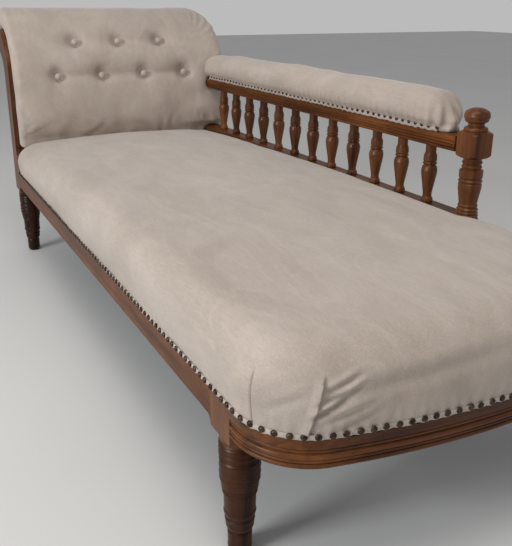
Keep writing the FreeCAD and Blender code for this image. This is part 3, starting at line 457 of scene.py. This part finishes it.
for node_name, node_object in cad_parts.items():
    material = NODE_MATERIALS.get(node_name)
    if node_name.startswith("spindle_"):
        material = wood_by_grain["z"]
    if material is not None:
        node_object.data.materials.clear()
        node_object.data.materials.append(material)


# Lines that nails and trim follow

def seat_edge_points(offset, step):
    """Points round the seat cover's lower edge, offset out from the rails' faces, with the outward
    direction at each: along the front, round the foot and back along the gallery side."""
    start_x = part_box("front_head_stile")[1].x
    back_start_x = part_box("back_head_stile")[1].x
    line = []
    for x in np.arange(start_x, corner_x, EDGE_LINE_STEP):
        line.append((x, front_y, 0.0, -1.0))
    for angle in np.arange(-math.pi / 2, -bow_half, EDGE_LINE_STEP / FOOT_CORNER_RADIUS):
        line.append((corner_x + FOOT_CORNER_RADIUS * math.cos(angle),
                     corner_y + FOOT_CORNER_RADIUS * math.sin(angle), math.cos(angle), math.sin(angle)))
    for angle in np.arange(-bow_half, 0.0, EDGE_LINE_STEP / FOOT_BOW_RADIUS):
        line.append((bow_x + FOOT_BOW_RADIUS * math.cos(angle),
                     middle_y + FOOT_BOW_RADIUS * math.sin(angle), math.cos(angle), math.sin(angle)))
    mirrored = [(x, 2 * middle_y - y, nx, -ny) for x, y, nx, ny in reversed(line)
                if x > back_start_x]
    back_end = [(x, back_y, 0.0, 1.0) for x in np.arange(start_x, back_start_x, -EDGE_LINE_STEP)]
    line = line + mirrored + back_end
    spots, travelled, wanted = [], 0.0, 0.0
    for before, after in zip(line, line[1:]):
        travelled += math.hypot(after[0] - before[0], after[1] - before[1])
        if travelled >= wanted:
            out = Vector((after[2], after[3], 0.0))
            spots.append((Vector((after[0], after[1], 0.0)) + out * offset, out))
            wanted += step
    return spots


def nail_row(name, spots, radius=NAIL_RADIUS):
    """Dome-headed nails: each spot is a place on the cloth and the direction that the dome faces."""
    rings = [(1.0, 0.0), (1.0, 0.12), (0.93, 0.30), (0.76, 0.48), (0.50, 0.62), (0.22, 0.69)]
    sides = 14
    vertices, faces = [], []
    for place, out in spots:
        turn = Vector((0, 0, 1)).rotation_difference(out)
        base = len(vertices)
        for spread, rise in rings:
            for side in range(sides):
                angle = 2 * math.pi * side / sides
                local = Vector((math.cos(angle) * spread, math.sin(angle) * spread, rise)) * radius
                vertices.append(place + turn @ local)
        top = len(vertices)
        vertices.append(place + turn @ Vector((0, 0, 0.71 * radius)))
        faces.append([base + side for side in reversed(range(sides))])
        for ring in range(len(rings) - 1):
            for side in range(sides):
                after = (side + 1) % sides
                low = base + ring * sides
                faces.append((low + side, low + after, low + sides + after, low + sides + side))
        low = base + (len(rings) - 1) * sides
        for side in range(sides):
            faces.append((low + side, low + (side + 1) % sides, top))
    nails = mesh_object(name, vertices, faces)
    shade_smooth(nails)
    nails.data.materials.append(nail_metal)
    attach(nails, "root")
    return nails


# Soft pieces

def soft_waves(co, size, seed):
    """Smooth unevenness between about -1 and 1, with humps about as far apart as size."""
    random = np.random.default_rng(seed)
    total = np.zeros(len(co))
    for _ in range(7):
        direction = random.normal(size=3)
        direction *= 2 * math.pi / (size * random.uniform(0.7, 1.6)) / np.linalg.norm(direction)
        total += np.sin(co @ direction + random.uniform(0.0, 2 * math.pi))
    return total / 3.5


def unevenness(co, waves):
    return sum(soft_waves(co, size, seed) * height for size, seed, height in waves)


def bell(distance, width):
    """1 at no distance, fading to about a third at the width."""
    return np.exp(-(distance / width) ** 2)


def eased(value, low, high):
    """0 below low, 1 above high and a smooth step between."""
    share = np.clip((value - low) / (high - low), 0.0, 1.0)
    return share * share * (3.0 - 2.0 * share)


def crease(u, v, line, width, depth):
    """Groove along a line from (u0, v0) to (u1, v1), which runs out at both ends."""
    u0, v0, u1, v1 = line
    du, dv = u1 - u0, v1 - v0
    length = math.hypot(du, dv)
    along = ((u - u0) * du + (v - v0) * dv) / length ** 2
    across = ((u - u0) * dv - (v - v0) * du) / length
    ends = eased(along, -0.12, 0.22) * (1.0 - eased(along, 0.55, 1.1))
    return -depth * bell(across, width) * ends


def puffed(thing, pinned, cap):
    """Cloth simulation with a little pressure and no gravity; no point moves further than cap."""
    before = points_of(thing)
    group = thing.vertex_groups.new(name="held")
    group.add([int(index) for index in np.flatnonzero(pinned)], 1.0, "REPLACE")
    cloth = thing.modifiers.new("puff", "CLOTH")
    cloth.settings.quality = 4
    cloth.settings.mass = 0.35
    cloth.settings.tension_stiffness = 12.0
    cloth.settings.compression_stiffness = 10.0
    cloth.settings.bending_stiffness = 0.6
    cloth.settings.use_pressure = True
    cloth.settings.uniform_pressure_force = CLOTH_PRESSURE
    cloth.settings.vertex_group_mass = "held"
    cloth.settings.effector_weights.gravity = 0.0
    cloth.collision_settings.use_collision = False
    cloth.point_cache.frame_start = 1
    cloth.point_cache.frame_end = CLOTH_FRAMES
    scene = bpy.context.scene
    for number in range(1, CLOTH_FRAMES + 1):
        scene.frame_set(number)
    graph = bpy.context.evaluated_depsgraph_get()
    settled = thing.evaluated_get(graph).to_mesh()
    after = np.empty(len(before) * 3)
    settled.vertices.foreach_get("co", after)
    move = after.reshape(-1, 3) - before
    thing.evaluated_get(graph).to_mesh_clear()
    thing.modifiers.clear()
    thing.vertex_groups.clear()
    scene.frame_set(1)
    length = np.linalg.norm(move, axis=1)
    move *= (np.minimum(length, cap) / np.maximum(length, 1e-9))[:, None]
    move_points(thing, before + move)
    print(thing.name, "points", len(before), "moved at most", round(float(length.max()), 4))


def finished_cushion(thing, node):
    """Velvet and smooth shading for a cover that stands for a CAD node, which is hidden; the cover hangs on
    the root body.
    """
    shade_smooth(thing)
    thing.data.materials.append(velvet)
    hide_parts(node)
    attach(thing, "root")


def edge_coordinates(co):
    """For each point: how far along the cover's edge from the start of the foot corner it lies, how
    far in from that edge, and the outward direction. The gallery side mirrors the front."""
    x = co[:, 0]
    side = np.where(co[:, 1] > middle_y, -1.0, 1.0)
    y = middle_y - np.abs(co[:, 1] - middle_y)
    corner_turn = np.arctan2(y - corner_y, x - corner_x)
    bow_turn = np.arctan2(y - middle_y, x - bow_x)
    on_side = x < corner_x
    in_corner = ~on_side & (corner_turn < -bow_half)
    along = np.where(on_side, x - corner_x,
                     np.where(in_corner, FOOT_CORNER_RADIUS * (corner_turn + math.pi / 2),
                              corner_length + FOOT_BOW_RADIUS * (bow_turn + bow_half)))
    inward = np.where(on_side, y - front_y,
                      np.where(in_corner, FOOT_CORNER_RADIUS - np.hypot(x - corner_x, y - corner_y),
                               FOOT_BOW_RADIUS - np.hypot(x - bow_x, y - middle_y)))
    turn = np.where(on_side, -math.pi / 2, np.where(in_corner, corner_turn, bow_turn))
    outward = np.stack([np.cos(turn), side * np.sin(turn), np.zeros(len(co))], axis=1)
    return along, inward, outward


def seat_nail_spots():
    """Each nail of the seat cover: its place and its outward direction."""
    spots = []
    wobble = np.random.default_rng(7)
    for place, out in seat_edge_points(0.0, NAIL_PITCH):
        along = Vector((-out.y, out.x, 0.0)) * wobble.normal(0.0, 0.0007)
        height = SHOW_WOOD_TOP + NAIL_ABOVE_WOOD + wobble.normal(0.0, 0.0004)
        spots.append((place + along + Vector((0, 0, height)), out))
    return spots


def nail_pull(co, spots, width):
    """1 at each nail, fading over width."""
    pull = np.zeros(len(co))
    for place, _ in spots:
        near = np.abs(co - np.array(place)).max(axis=1) < 3 * width
        distance = np.linalg.norm(co[near] - np.array(place), axis=1)
        pull[near] = np.maximum(pull[near], bell(distance, width))
    return pull


# Folds of the foot corner, as distance along the edge and height: the two pleats, and the drag
# lines that run up from the second one, each with its width and depth
PLEATED_SPAN = (-0.015, 0.24)
PLEATED_MARGIN = 0.075
PLEAT_ONE = 0.041
PLEAT_TWO = (0.111, 0.256, 0.130, 0.337)
PLEAT_TOP = (0.326, 0.343)
FOLD_TOP = (0.345, 0.372)
DRAG_LINES = [
    ((0.116, 0.286, 0.178, 0.321), 0.0044, 0.0066),
    ((0.122, 0.307, 0.186, 0.325), 0.0038, 0.0048),
    ((0.126, 0.317, 0.182, 0.338), 0.0036, 0.0042),
    ((0.131, 0.279, 0.200, 0.299), 0.0052, 0.0034),
    ((0.060, 0.292, 0.118, 0.322), 0.0060, 0.0016),
    ((0.150, 0.266, 0.210, 0.289), 0.0052, 0.0034),
    ((0.158, 0.315, 0.420, 0.335), 0.0095, 0.0034),
]


def seat_cover():
    """Seat stuffing and its cover: crowned, drawn in at the nails, pleated round the foot corners."""
    cover = copied_node("seat_cushion", "seat_cover")
    remeshed(cover, 0.004, 4)
    co = points_of(cover)
    along, inward, outward = edge_coordinates(co)
    first, last = PLEATED_SPAN
    refined(cover, (along > first) & (along < last) & (inward < 0.07) & (co[:, 2] > SHOW_WOOD_TOP), 2)
    co = points_of(cover)
    normals = normals_of(cover)
    along, inward, outward = edge_coordinates(co)
    height = co[:, 2]
    rise = height - SHOW_WOOD_TOP
    facing_out = (normals * outward).sum(axis=1)
    shows = np.clip(np.maximum(facing_out, normals[:, 2]) * 3.0, 0.0, 1.0)
    on_side = eased(facing_out, 0.25, 0.8) * (inward < 0.09)
    move = unevenness(co, SEAT_WAVES)

    # Belly of the side, nails and the puckers above them
    low = 1.0 - eased(rise, *SIDE_TUCK_FADE)
    belly = bell(rise - SIDE_BELLY_RISE, SIDE_BELLY_WIDTH)
    move += on_side * (SIDE_BELLY * belly - SIDE_TUCK * low)
    move -= NAIL_PULL_DEPTH * nail_pull(co, seat_nail_spots(), SEAT_PULL_WIDTH) * on_side
    phase = 2 * math.pi * along / NAIL_PITCH
    pucker = 1.0 - eased(rise, *PUCKER_FADE)
    move += on_side * pucker * PUCKER_DEPTH * np.cos(phase + soft_waves(co, 0.12, 5) * 2.0)

    # First pleat: a lap with a groove beside it
    corner = (inward < PLEATED_MARGIN) * eased(rise, 0.0, 0.012) * (1.0 - eased(height, *FOLD_TOP))
    pleated = corner * (1.0 - eased(height, *PLEAT_TOP))
    past_one = along - PLEAT_ONE
    lap = eased(past_one, -0.0004, 0.0010) * np.exp(-np.maximum(past_one, 0.0) / 0.018)
    move += pleated * (0.0026 * lap - 0.0034 * bell(past_one + 0.0008, 0.0017))

    # Second pleat: a ridge that drops into a hollow, and its drag lines, each with a ridge above it
    u0, v0, u1, v1 = PLEAT_TWO
    past_two = along - (u0 + (u1 - u0) * (height - v0) / (v1 - v0))
    ridge = eased(past_two, -0.012, 0.0) * (1.0 - eased(past_two, 0.0, 0.0020))
    hollow = eased(past_two, 0.0, 0.0020) * np.exp(-np.maximum(past_two - 0.002, 0.0) / 0.007)
    move += pleated * (0.0034 * ridge - 0.0040 * hollow)
    for line, width, depth in DRAG_LINES:
        move += corner * crease(along, height, line, width, depth)
        shifted = (line[0], line[1] + 2.2 * width, line[2], line[3] + 2.2 * width)
        move -= corner * crease(along, height, shifted, width, depth * 0.5)
    move_points(cover, co + normals * (move * shows)[:, None])
    finished_cushion(cover, "seat_cushion")


# Head

def head_button_frames():
    """Centre and outward direction of each button, read from the CAD buttons."""
    co = points_of(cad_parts["head_buttons"])
    frames = []
    left = np.ones(len(co), bool)
    while left.any():
        first = co[np.flatnonzero(left)[0]]
        group = left & (np.linalg.norm(co - first, axis=1) < 0.04)
        points = co[group]
        centre = points.mean(axis=0)
        axes = np.linalg.eigh(np.cov((points - centre).T))[1]
        out = axes[:, 0] * (1.0 if axes[0, 0] > 0 else -1.0)
        frames.append((centre, out))
        left &= ~group
    return frames


def rolled_edge(co, normals, radius):
    """Places of the head's points once its near edge, square in the CAD model, is rolled over."""
    side = co[:, 1] - head_low.y
    ring = co[(side > 0.030) & (side < 0.040)]
    outline = KDTree(len(ring))
    for index, point in enumerate(ring):
        outline.insert((point[0], 0.0, point[2]), index)
    outline.balance()
    new = co.copy()
    for index in np.flatnonzero(side < radius):
        flat = (co[index, 0], 0.0, co[index, 2])
        nearest, _, depth = outline.find(flat)
        if depth >= radius:
            continue
        inward = Vector(flat) - nearest
        if depth < 0.002 or abs(normals[index, 1]) < 0.7:
            inward = Vector((-normals[index, 0], 0.0, -normals[index, 2]))
        if inward.length < 1e-6:
            continue
        inward.normalize()
        from_side, from_face = radius - max(side[index], 0.0), radius - depth
        length = math.hypot(from_side, from_face)
        if length > radius:
            share = 1.0 - radius / length
            new[index] += (inward.x * from_face * share, from_side * share, inward.z * from_face * share)
    return new


def tufting(co, frames, front):
    """Dimples at the head's buttons, and the valleys and puffs along their two rows."""
    move = np.zeros(len(co))
    for centre, out in frames:
        offset = co - (centre - out * 0.004)
        height = offset @ out
        flat = np.linalg.norm(offset - height[:, None] * out, axis=1)
        close = front * (np.abs(height) < 0.06)
        move -= close * (DIMPLE_DEPTH * bell(flat, DIMPLE_WIDTH) + TUFT_DEPTH * bell(flat, TUFT_WIDTH))
        above = bell(offset[:, 1] + 0.006, 0.030) * bell(offset[:, 2] - 0.022, 0.016)
        move -= close * TUFT_DEPTH * above
    ordered = sorted(frames, key=lambda item: item[0][1])
    row_split = min(centre[2] for centre, out in frames) + 0.04
    for row in ([item for item in ordered if item[0][2] < row_split],
                [item for item in ordered if item[0][2] > row_split]):
        first, last = row[0][0][1], row[-1][0][1]
        heights = np.interp(co[:, 1], [item[0][1] for item in row], [item[0][2] for item in row])
        between = eased(co[:, 1], first - 0.090, first) * (1.0 - eased(co[:, 1], last, last + 0.055))
        above_row = co[:, 2] - heights
        move -= front * ROW_VALLEY_DEPTH * between * bell(above_row, ROW_VALLEY_WIDTH)
        move += front * ROW_PUFF_HEIGHT * between * bell(above_row - ROW_PUFF_RISE, ROW_PUFF_WIDTH)
    return move


def head_cover():
    """Stuffed head: cloth blown up a little between the buttons, its near edge rolled over, then
    the tufting, the gathers at the crest's corner, the cheek's belly and the tuck above the seat."""
    cover = copied_node("head_pad", "head_cover")
    remeshed(cover, 0.006, 10)
    co = points_of(cover)
    normals = normals_of(cover)
    frames = head_button_frames()
    near_button = np.min([np.linalg.norm(co - centre, axis=1) for centre, out in frames], axis=0)
    stile_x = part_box("back_head_stile")[1].x
    hidden = (co[:, 0] < stile_x + 0.004) & (co[:, 2] < 0.60)
    low_edge = co[:, 2] < HEAD_TACKED_HEIGHT
    near_side = co[:, 1] < head_low.y + 0.006
    pinned = hidden | low_edge | near_side | (near_button < 0.020) | (normals[:, 0] < -0.3)
    puffed(cover, pinned, HEAD_MOVE_CAP)
    subdivided(cover)
    co = points_of(cover)
    normals = normals_of(cover)
    on_front = np.maximum(eased(co[:, 0], stile_x - 0.006, stile_x + 0.012), eased(co[:, 2], 0.660, 0.690))
    rolled = rolled_edge(co, normals, HEAD_EDGE_RADIUS)
    co = co + (rolled - co) * on_front[:, None]
    move_points(cover, co)
    normals = normals_of(cover)
    front = eased(normals[:, 0], -0.2, 0.3)
    move = unevenness(co, HEAD_WAVES) + tufting(co, frames, front)

    crest_y = co[:, 1] - (head_high.y - 0.115)
    crest_z = co[:, 2] - (head_high.z - 0.095)
    turn = np.arctan2(crest_z, crest_y)
    gathers = np.cos(turn * 26.0 + co[:, 0] * 30.0)
    reach = np.hypot(crest_y, crest_z)
    on_corner = eased(turn, -0.1, 0.3) * (1.0 - eased(turn, 1.0, 1.5)) * eased(reach, 0.04, 0.085)
    move += CREST_GATHER * gathers * on_corner * eased(co[:, 0], -0.84, -0.74)

    gallery_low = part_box("gallery_base_rail")[1].z
    gallery_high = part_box("gallery_top_rail")[0].z
    cheek = eased(normals[:, 0] + normals[:, 1], 0.45, 1.1) * eased(co[:, 1], 0.16, 0.24)
    cheek *= eased(normals[:, 0], 0.05, 0.40)
    between_rails = eased(co[:, 2], gallery_low + 0.006, gallery_low + 0.026) * (
        1.0 - eased(co[:, 2], gallery_high - 0.060, gallery_high - 0.006))
    move += CHEEK_BELLY * cheek * between_rails

    tucked = (1.0 - eased(co[:, 2], 0.385, 0.430)) * front
    move += tucked * TUCK_GATHER * np.cos(co[:, 1] * 95.0 + soft_waves(co, 0.10, 13) * 2.5)
    move_points(cover, co + normals * (move * eased(normals[:, 0], -0.9, -0.2))[:, None])
    finished_cushion(cover, "head_pad")


def button_dome(centre, out):
    """Covered button: a dome with small puckers round its rim."""
    rings = [(0.0, -0.0030), (0.90, -0.0030), (1.0, -0.0012), (1.0, 0.0006), (0.93, 0.0026),
             (0.78, 0.0043), (0.55, 0.0055), (0.28, 0.0062), (0.0, 0.0064)]
    sides = 48
    vertices, faces = [], []
    turn = Vector((0, 0, 1)).rotation_difference(Vector(out))
    for spread, rise in rings:
        for side in range(sides):
            angle = 2 * math.pi * side / sides
            pucker = 1.0 + 0.035 * math.cos(angle * 12) * (0.5 < spread)
            reach = spread * BUTTON_RADIUS * pucker
            local = Vector((math.cos(angle) * reach, math.sin(angle) * reach, rise))
            vertices.append(Vector(centre) + turn @ local)
    for ring in range(len(rings) - 1):
        for side in range(sides):
            after = (side + 1) % sides
            low, high = ring * sides, (ring + 1) * sides
            faces.append((low + side, low + after, high + after, high + side))
    return vertices, faces


def head_cover_buttons():
    """The head's covered buttons, as one object."""
    vertices, faces = [], []
    for centre, out in head_button_frames():
        some, rings = button_dome(centre + out * 0.0010, out)
        faces += [[index + len(vertices) for index in face] for face in rings]
        vertices += some
    buttons = mesh_object("head_cover_buttons", vertices, faces)
    weld = buttons.modifiers.new("weld", "WELD")
    weld.merge_threshold = 0.00002
    bake_modifiers(buttons)
    shade_smooth(buttons)
    buttons.data.materials.append(velvet)
    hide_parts("head_buttons")
    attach(buttons, "root")


# Arm pad

def arm_nail_spots():
    """Both long sides of the arm pad's tacked edge, just above the upper rail."""
    rail_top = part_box("gallery_top_rail")[1].z
    centre_y = (arm_low.y + arm_high.y) / 2
    spots = []
    for side in (-1.0, 1.0):
        for x in np.arange(arm_low.x + 0.020, arm_high.x - 0.006, ARM_NAIL_PITCH):
            taper = 1.0 - 0.32 * float(eased(np.array(x), arm_high.x - 0.05, arm_high.x))
            y = centre_y + side * (ARM_BASE_HALF * taper + 0.0016)
            spots.append((Vector((x, y, rail_top + 0.0086)), Vector((0.0, side, 0.12)).normalized()))
    return spots


def arm_cover():
    """Padded arm: a loaf drawn in at its nails, with gathers above them and at its foot end."""
    cover = copied_node("arm_pad", "arm_cover")
    remeshed(cover, 0.004, 6)
    co = points_of(cover)
    puffed(cover, co[:, 2] < arm_low.z + ARM_STRIP_HEIGHT + 0.002, ARM_MOVE_CAP)
    co = points_of(cover)
    normals = normals_of(cover)
    rise = co[:, 2] - arm_low.z
    above_strip = eased(rise, 0.004, 0.014)
    move = unevenness(co, ARM_WAVES)
    phase = 2 * math.pi * (co[:, 0] + soft_waves(co, 0.09, 22) * 0.004) / ARM_NAIL_PITCH
    move += (1.0 - eased(rise, 0.014, 0.052)) * above_strip * ARM_PUCKER_DEPTH * np.cos(phase)
    to_foot = arm_high.x - co[:, 0]
    end_turn = np.arctan2(co[:, 1] - (arm_low.y + arm_high.y) / 2, 0.060 - to_foot)
    ended = (1.0 - eased(to_foot, 0.020, 0.075)) * (1.0 - eased(rise, 0.030, 0.062))
    move += ended * ARM_END_GATHER * np.cos(end_turn * 13.0 + 0.7) * above_strip
    move -= NAIL_PULL_DEPTH * nail_pull(co, arm_nail_spots(), ARM_PULL_WIDTH)
    move -= 0.0016 * bell(rise - 0.013, 0.006)
    move_points(cover, co + normals * move[:, None])
    finished_cushion(cover, "arm_pad")


# Flat cloths

def cloth_sheet(name, columns, rows, place, thickness, material):
    """Sheet over a grid: place(u, v) for shares from 0 to 1, thickened to both sides."""
    vertices = [place(u / columns, v / rows) for v in range(rows + 1) for u in range(columns + 1)]
    faces = []
    for v in range(rows):
        for u in range(columns):
            corner = v * (columns + 1) + u
            faces.append((corner, corner + 1, corner + columns + 2, corner + columns + 1))
    sheet = mesh_object(name, vertices, faces)
    solid = sheet.modifiers.new("thickness", "SOLIDIFY")
    solid.thickness = thickness
    solid.offset = 0.0
    bake_modifiers(sheet)
    shade_smooth(sheet)
    sheet.data.materials.append(material)
    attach(sheet, "root")
    return sheet


def outside_back():
    """Cloth stretched over the outside of the head, from the head rail up under the scroll."""
    low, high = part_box("outside_back_cover")
    near_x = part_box("front_head_leg")[0].x - OUTSIDE_STAND_OFF
    bend_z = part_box("front_head_stile")[1].z - HOOK_DROP
    straight = bend_z - low.z
    length = straight + HOOK_RADIUS * math.radians(HOOK_SWEEP)

    def place(u, v):
        y = low.y + (high.y - low.y) * u
        run = length * v
        slack = math.sin(math.pi * u) ** 0.5 * math.sin(math.pi * min(1.0, run / straight)) * OUTSIDE_SLACK
        ripple = 0.0006 * math.sin(u * 46.0) * (1.0 - min(1.0, run / 0.05))
        if run < straight:
            return (near_x - slack - ripple, y, low.z + run)
        turn = (run - straight) / HOOK_RADIUS
        return (near_x - HOOK_RADIUS + HOOK_RADIUS * math.cos(turn), y, bend_z + HOOK_RADIUS * math.sin(turn))

    sheet = cloth_sheet("outside_back", 140, 96, place, OUTSIDE_THICKNESS, velvet)
    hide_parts("outside_back_cover")
    spots = []
    for side, y in ((0.0, low.y + 0.006), (1.0, high.y - 0.006)):
        for v in np.arange(0.02, 0.98, NAIL_PITCH / length):
            x, _, z = place(side, float(v))
            turn = max(0.0, (length * v - straight) / HOOK_RADIUS)
            out = Vector((-math.cos(turn), 0.0, -math.sin(turn)))
            spots.append((Vector((x, y, z)) + out * 0.0010, out))
    for y in np.arange(low.y + NAIL_PITCH, high.y - NAIL_PITCH, NAIL_PITCH):
        spots.append((Vector((near_x - 0.0012, y, low.z + 0.006)), Vector((-1.0, 0.0, 0.0))))
    nail_row("outside_back_nails", spots, NAIL_RADIUS * 0.9)


def bottom_cloth():
    """Thin black cloth under the seat, cut round the legs, sagging a little towards its middle."""
    cloth = copied_node("bottom_dust_cover", "bottom_cloth")
    mesh = bmesh.new()
    mesh.from_mesh(cloth.data)
    low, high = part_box("bottom_dust_cover")
    for axis in (0, 1):
        normal = Vector((axis == 0, axis == 1, 0))
        for cut in np.arange(low[axis] + BOTTOM_GRID, high[axis], BOTTOM_GRID):
            everything = mesh.verts[:] + mesh.edges[:] + mesh.faces[:]
            bmesh.ops.bisect_plane(mesh, geom=everything, plane_co=normal * cut, plane_no=normal)
    mesh.to_mesh(cloth.data)
    mesh.free()
    co = points_of(cloth)
    u = (co[:, 0] - low.x) / (high.x - low.x)
    v = (co[:, 1] - low.y) / (high.y - low.y)
    sag = np.sin(math.pi * np.clip(u, 0, 1)) * np.sin(math.pi * np.clip(v, 0, 1))
    co[:, 2] -= BOTTOM_SAG * sag * (1.0 + 0.3 * soft_waves(co, 0.2, 31))
    move_points(cloth, co)
    cloth.data.materials.append(black_cloth)
    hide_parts("bottom_dust_cover")
    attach(cloth, "root")


# Pale cut edge of the cover that shows under the nails

def edge_strip(name, spots, low, high, stand_off):
    """Band of cloth edge along a row of nails: low and high are measured from the nails."""
    section = [(0.0, low), (stand_off, low + 0.0005), (stand_off * 1.1, (low + high) / 2),
               (stand_off * 0.6, high - 0.0010), (0.0, high)]
    vertices, faces = [], []
    fray = np.random.default_rng(41)
    for index, (place, out) in enumerate(spots):
        flat_out = Vector((out.x, out.y, 0.0)).normalized()
        ripple = -0.0008 * math.cos(index * math.pi) + float(np.clip(fray.normal(0.0, 0.0005), -0.001, 0.001))
        for reach, rise in section:
            drop = ripple if rise < 0.0 else 0.0
            vertices.append(place + flat_out * reach + Vector((0, 0, rise + drop)))
    count = len(section)
    for index in range(len(spots) - 1):
        for step in range(count):
            after = (step + 1) % count
            first, second = index * count, (index + 1) * count
            faces.append((first + step, second + step, second + after, first + after))
    faces.append(list(range(count)))
    faces.append([(len(spots) - 1) * count + step for step in reversed(range(count))])
    strip = mesh_object(name, vertices, faces)
    mesh = bmesh.new()
    mesh.from_mesh(strip.data)
    bmesh.ops.recalc_face_normals(mesh, faces=mesh.faces[:])
    mesh.to_mesh(strip.data)
    mesh.free()
    shade_smooth(strip)
    strip.data.materials.append(gimp_cloth)
    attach(strip, "root")
    return strip


def seat_edge():
    """Cut edge and nails round the seat."""
    spots = [(place + Vector((0, 0, SHOW_WOOD_TOP + NAIL_ABOVE_WOOD)), out)
             for place, out in seat_edge_points(-0.0006, NAIL_PITCH / 2)]
    edge_strip("seat_cover_edge", spots, -0.0052, 0.0030, 0.0011)
    nail_row("seat_nails", [(place + out * 0.0008, out) for place, out in seat_nail_spots()])


def arm_edge():
    """Cut edges and nails along both sides of the arm."""
    spots = arm_nail_spots()
    half = len(spots) // 2
    for name, row in (("arm_front_edge", spots[:half]), ("arm_back_edge", spots[half:])):
        line = []
        for before, after in zip(row, row[1:]):
            line.append(before)
            line.append(((before[0] + after[0]) / 2, before[1]))
        line.append(row[-1])
        edge_strip(name, line, -0.0080, 0.0032, 0.0027)
    nail_row("arm_nails", [(place + out * 0.0024, out) for place, out in spots], NAIL_RADIUS * 0.92)


seat_cover()
head_cover()
head_cover_buttons()
arm_cover()
outside_back()
bottom_cloth()
seat_edge()
arm_edge()


# Floor, lights and camera

def pale_floor():
    """Plain painted floor."""
    size = FLOOR_HALF_SIZE
    floor = mesh_object("floor", [(-size, -size, 0), (size, -size, 0), (size, size, 0), (-size, size, 0)],
                        [(0, 1, 2, 3)])
    material, tree, shader = new_material("floor_paint")
    shader.inputs["Roughness"].default_value = 0.9
    speckle = add_node(tree, "ShaderNodeTexNoise", Scale=40.0, Detail=3.0)
    tree.links.new(ramp(tree, speckle.outputs["Fac"], [(0.3, (0.70, 0.70, 0.69)), (0.7, (0.73, 0.73, 0.72))]),
                   shader.inputs["Base Color"])
    floor.data.materials.append(material)


def soft_light(name, place, size, power, colour):
    lamp = bpy.data.lights.new(name, "AREA")
    lamp.shape = "RECTANGLE"
    lamp.size = size[0]
    lamp.size_y = size[1]
    lamp.energy = power
    lamp.color = colour
    thing = bpy.data.objects.new(name, lamp)
    bpy.context.scene.collection.objects.link(thing)
    thing.location = place
    thing.rotation_mode = "QUATERNION"
    thing.rotation_quaternion = (Vector(LAMP_TARGET) - Vector(place)).to_track_quat("-Z", "Y")


def studio_light():
    """Soft lamps, a plain world for light and reflections, and a pale one behind the couch."""
    world = bpy.data.worlds.new("studio")
    bpy.context.scene.world = world
    world.use_nodes = True
    tree = world.node_tree
    background = tree.nodes["Background"]
    background.inputs["Color"].default_value = WORLD_COLOUR
    background.inputs["Strength"].default_value = WORLD_STRENGTH
    backdrop = add_node(tree, "ShaderNodeBackground", Strength=BACKDROP_STRENGTH)
    rays = add_node(tree, "ShaderNodeLightPath")
    shown = add_node(tree, "ShaderNodeMixShader")
    tree.links.new(rays.outputs["Is Camera Ray"], shown.inputs["Fac"])
    tree.links.new(background.outputs["Background"], shown.inputs[1])
    tree.links.new(backdrop.outputs["Background"], shown.inputs[2])
    tree.links.new(shown.outputs["Shader"], tree.nodes["World Output"].inputs["Surface"])
    for name, place, size, power, colour in LAMPS:
        soft_light(name, place, size, power, colour)


def photo_camera():
    """Camera at the photograph's viewpoint, with its optical centre off the frame's middle."""
    data = bpy.data.cameras.new("camera")
    data.sensor_width = SENSOR
    data.lens = FOCAL_PIXELS / IMAGE_HEIGHT * SENSOR
    data.shift_x = (IMAGE_WIDTH / 2 - CENTRE_PIXEL[0]) / IMAGE_HEIGHT
    data.shift_y = -(IMAGE_HEIGHT / 2 - CENTRE_PIXEL[1]) / IMAGE_HEIGHT
    data.clip_start = 0.02
    data.clip_end = 100.0
    camera = bpy.data.objects.new("camera", data)
    bpy.context.scene.collection.objects.link(camera)
    forward = Vector((math.cos(CAMERA_TILT) * math.cos(CAMERA_HEADING),
                      math.cos(CAMERA_TILT) * math.sin(CAMERA_HEADING), -math.sin(CAMERA_TILT)))
    camera.location = CAMERA_PLACE
    camera.rotation_mode = "QUATERNION"
    level = forward.to_track_quat("-Z", "Y")
    camera.rotation_quaternion = level @ Quaternion((0, 0, 1), CAMERA_ROLL)
    bpy.context.scene.camera = camera


pale_floor()
studio_light()
photo_camera()
bpy.context.scene.view_settings.view_transform = "Standard"
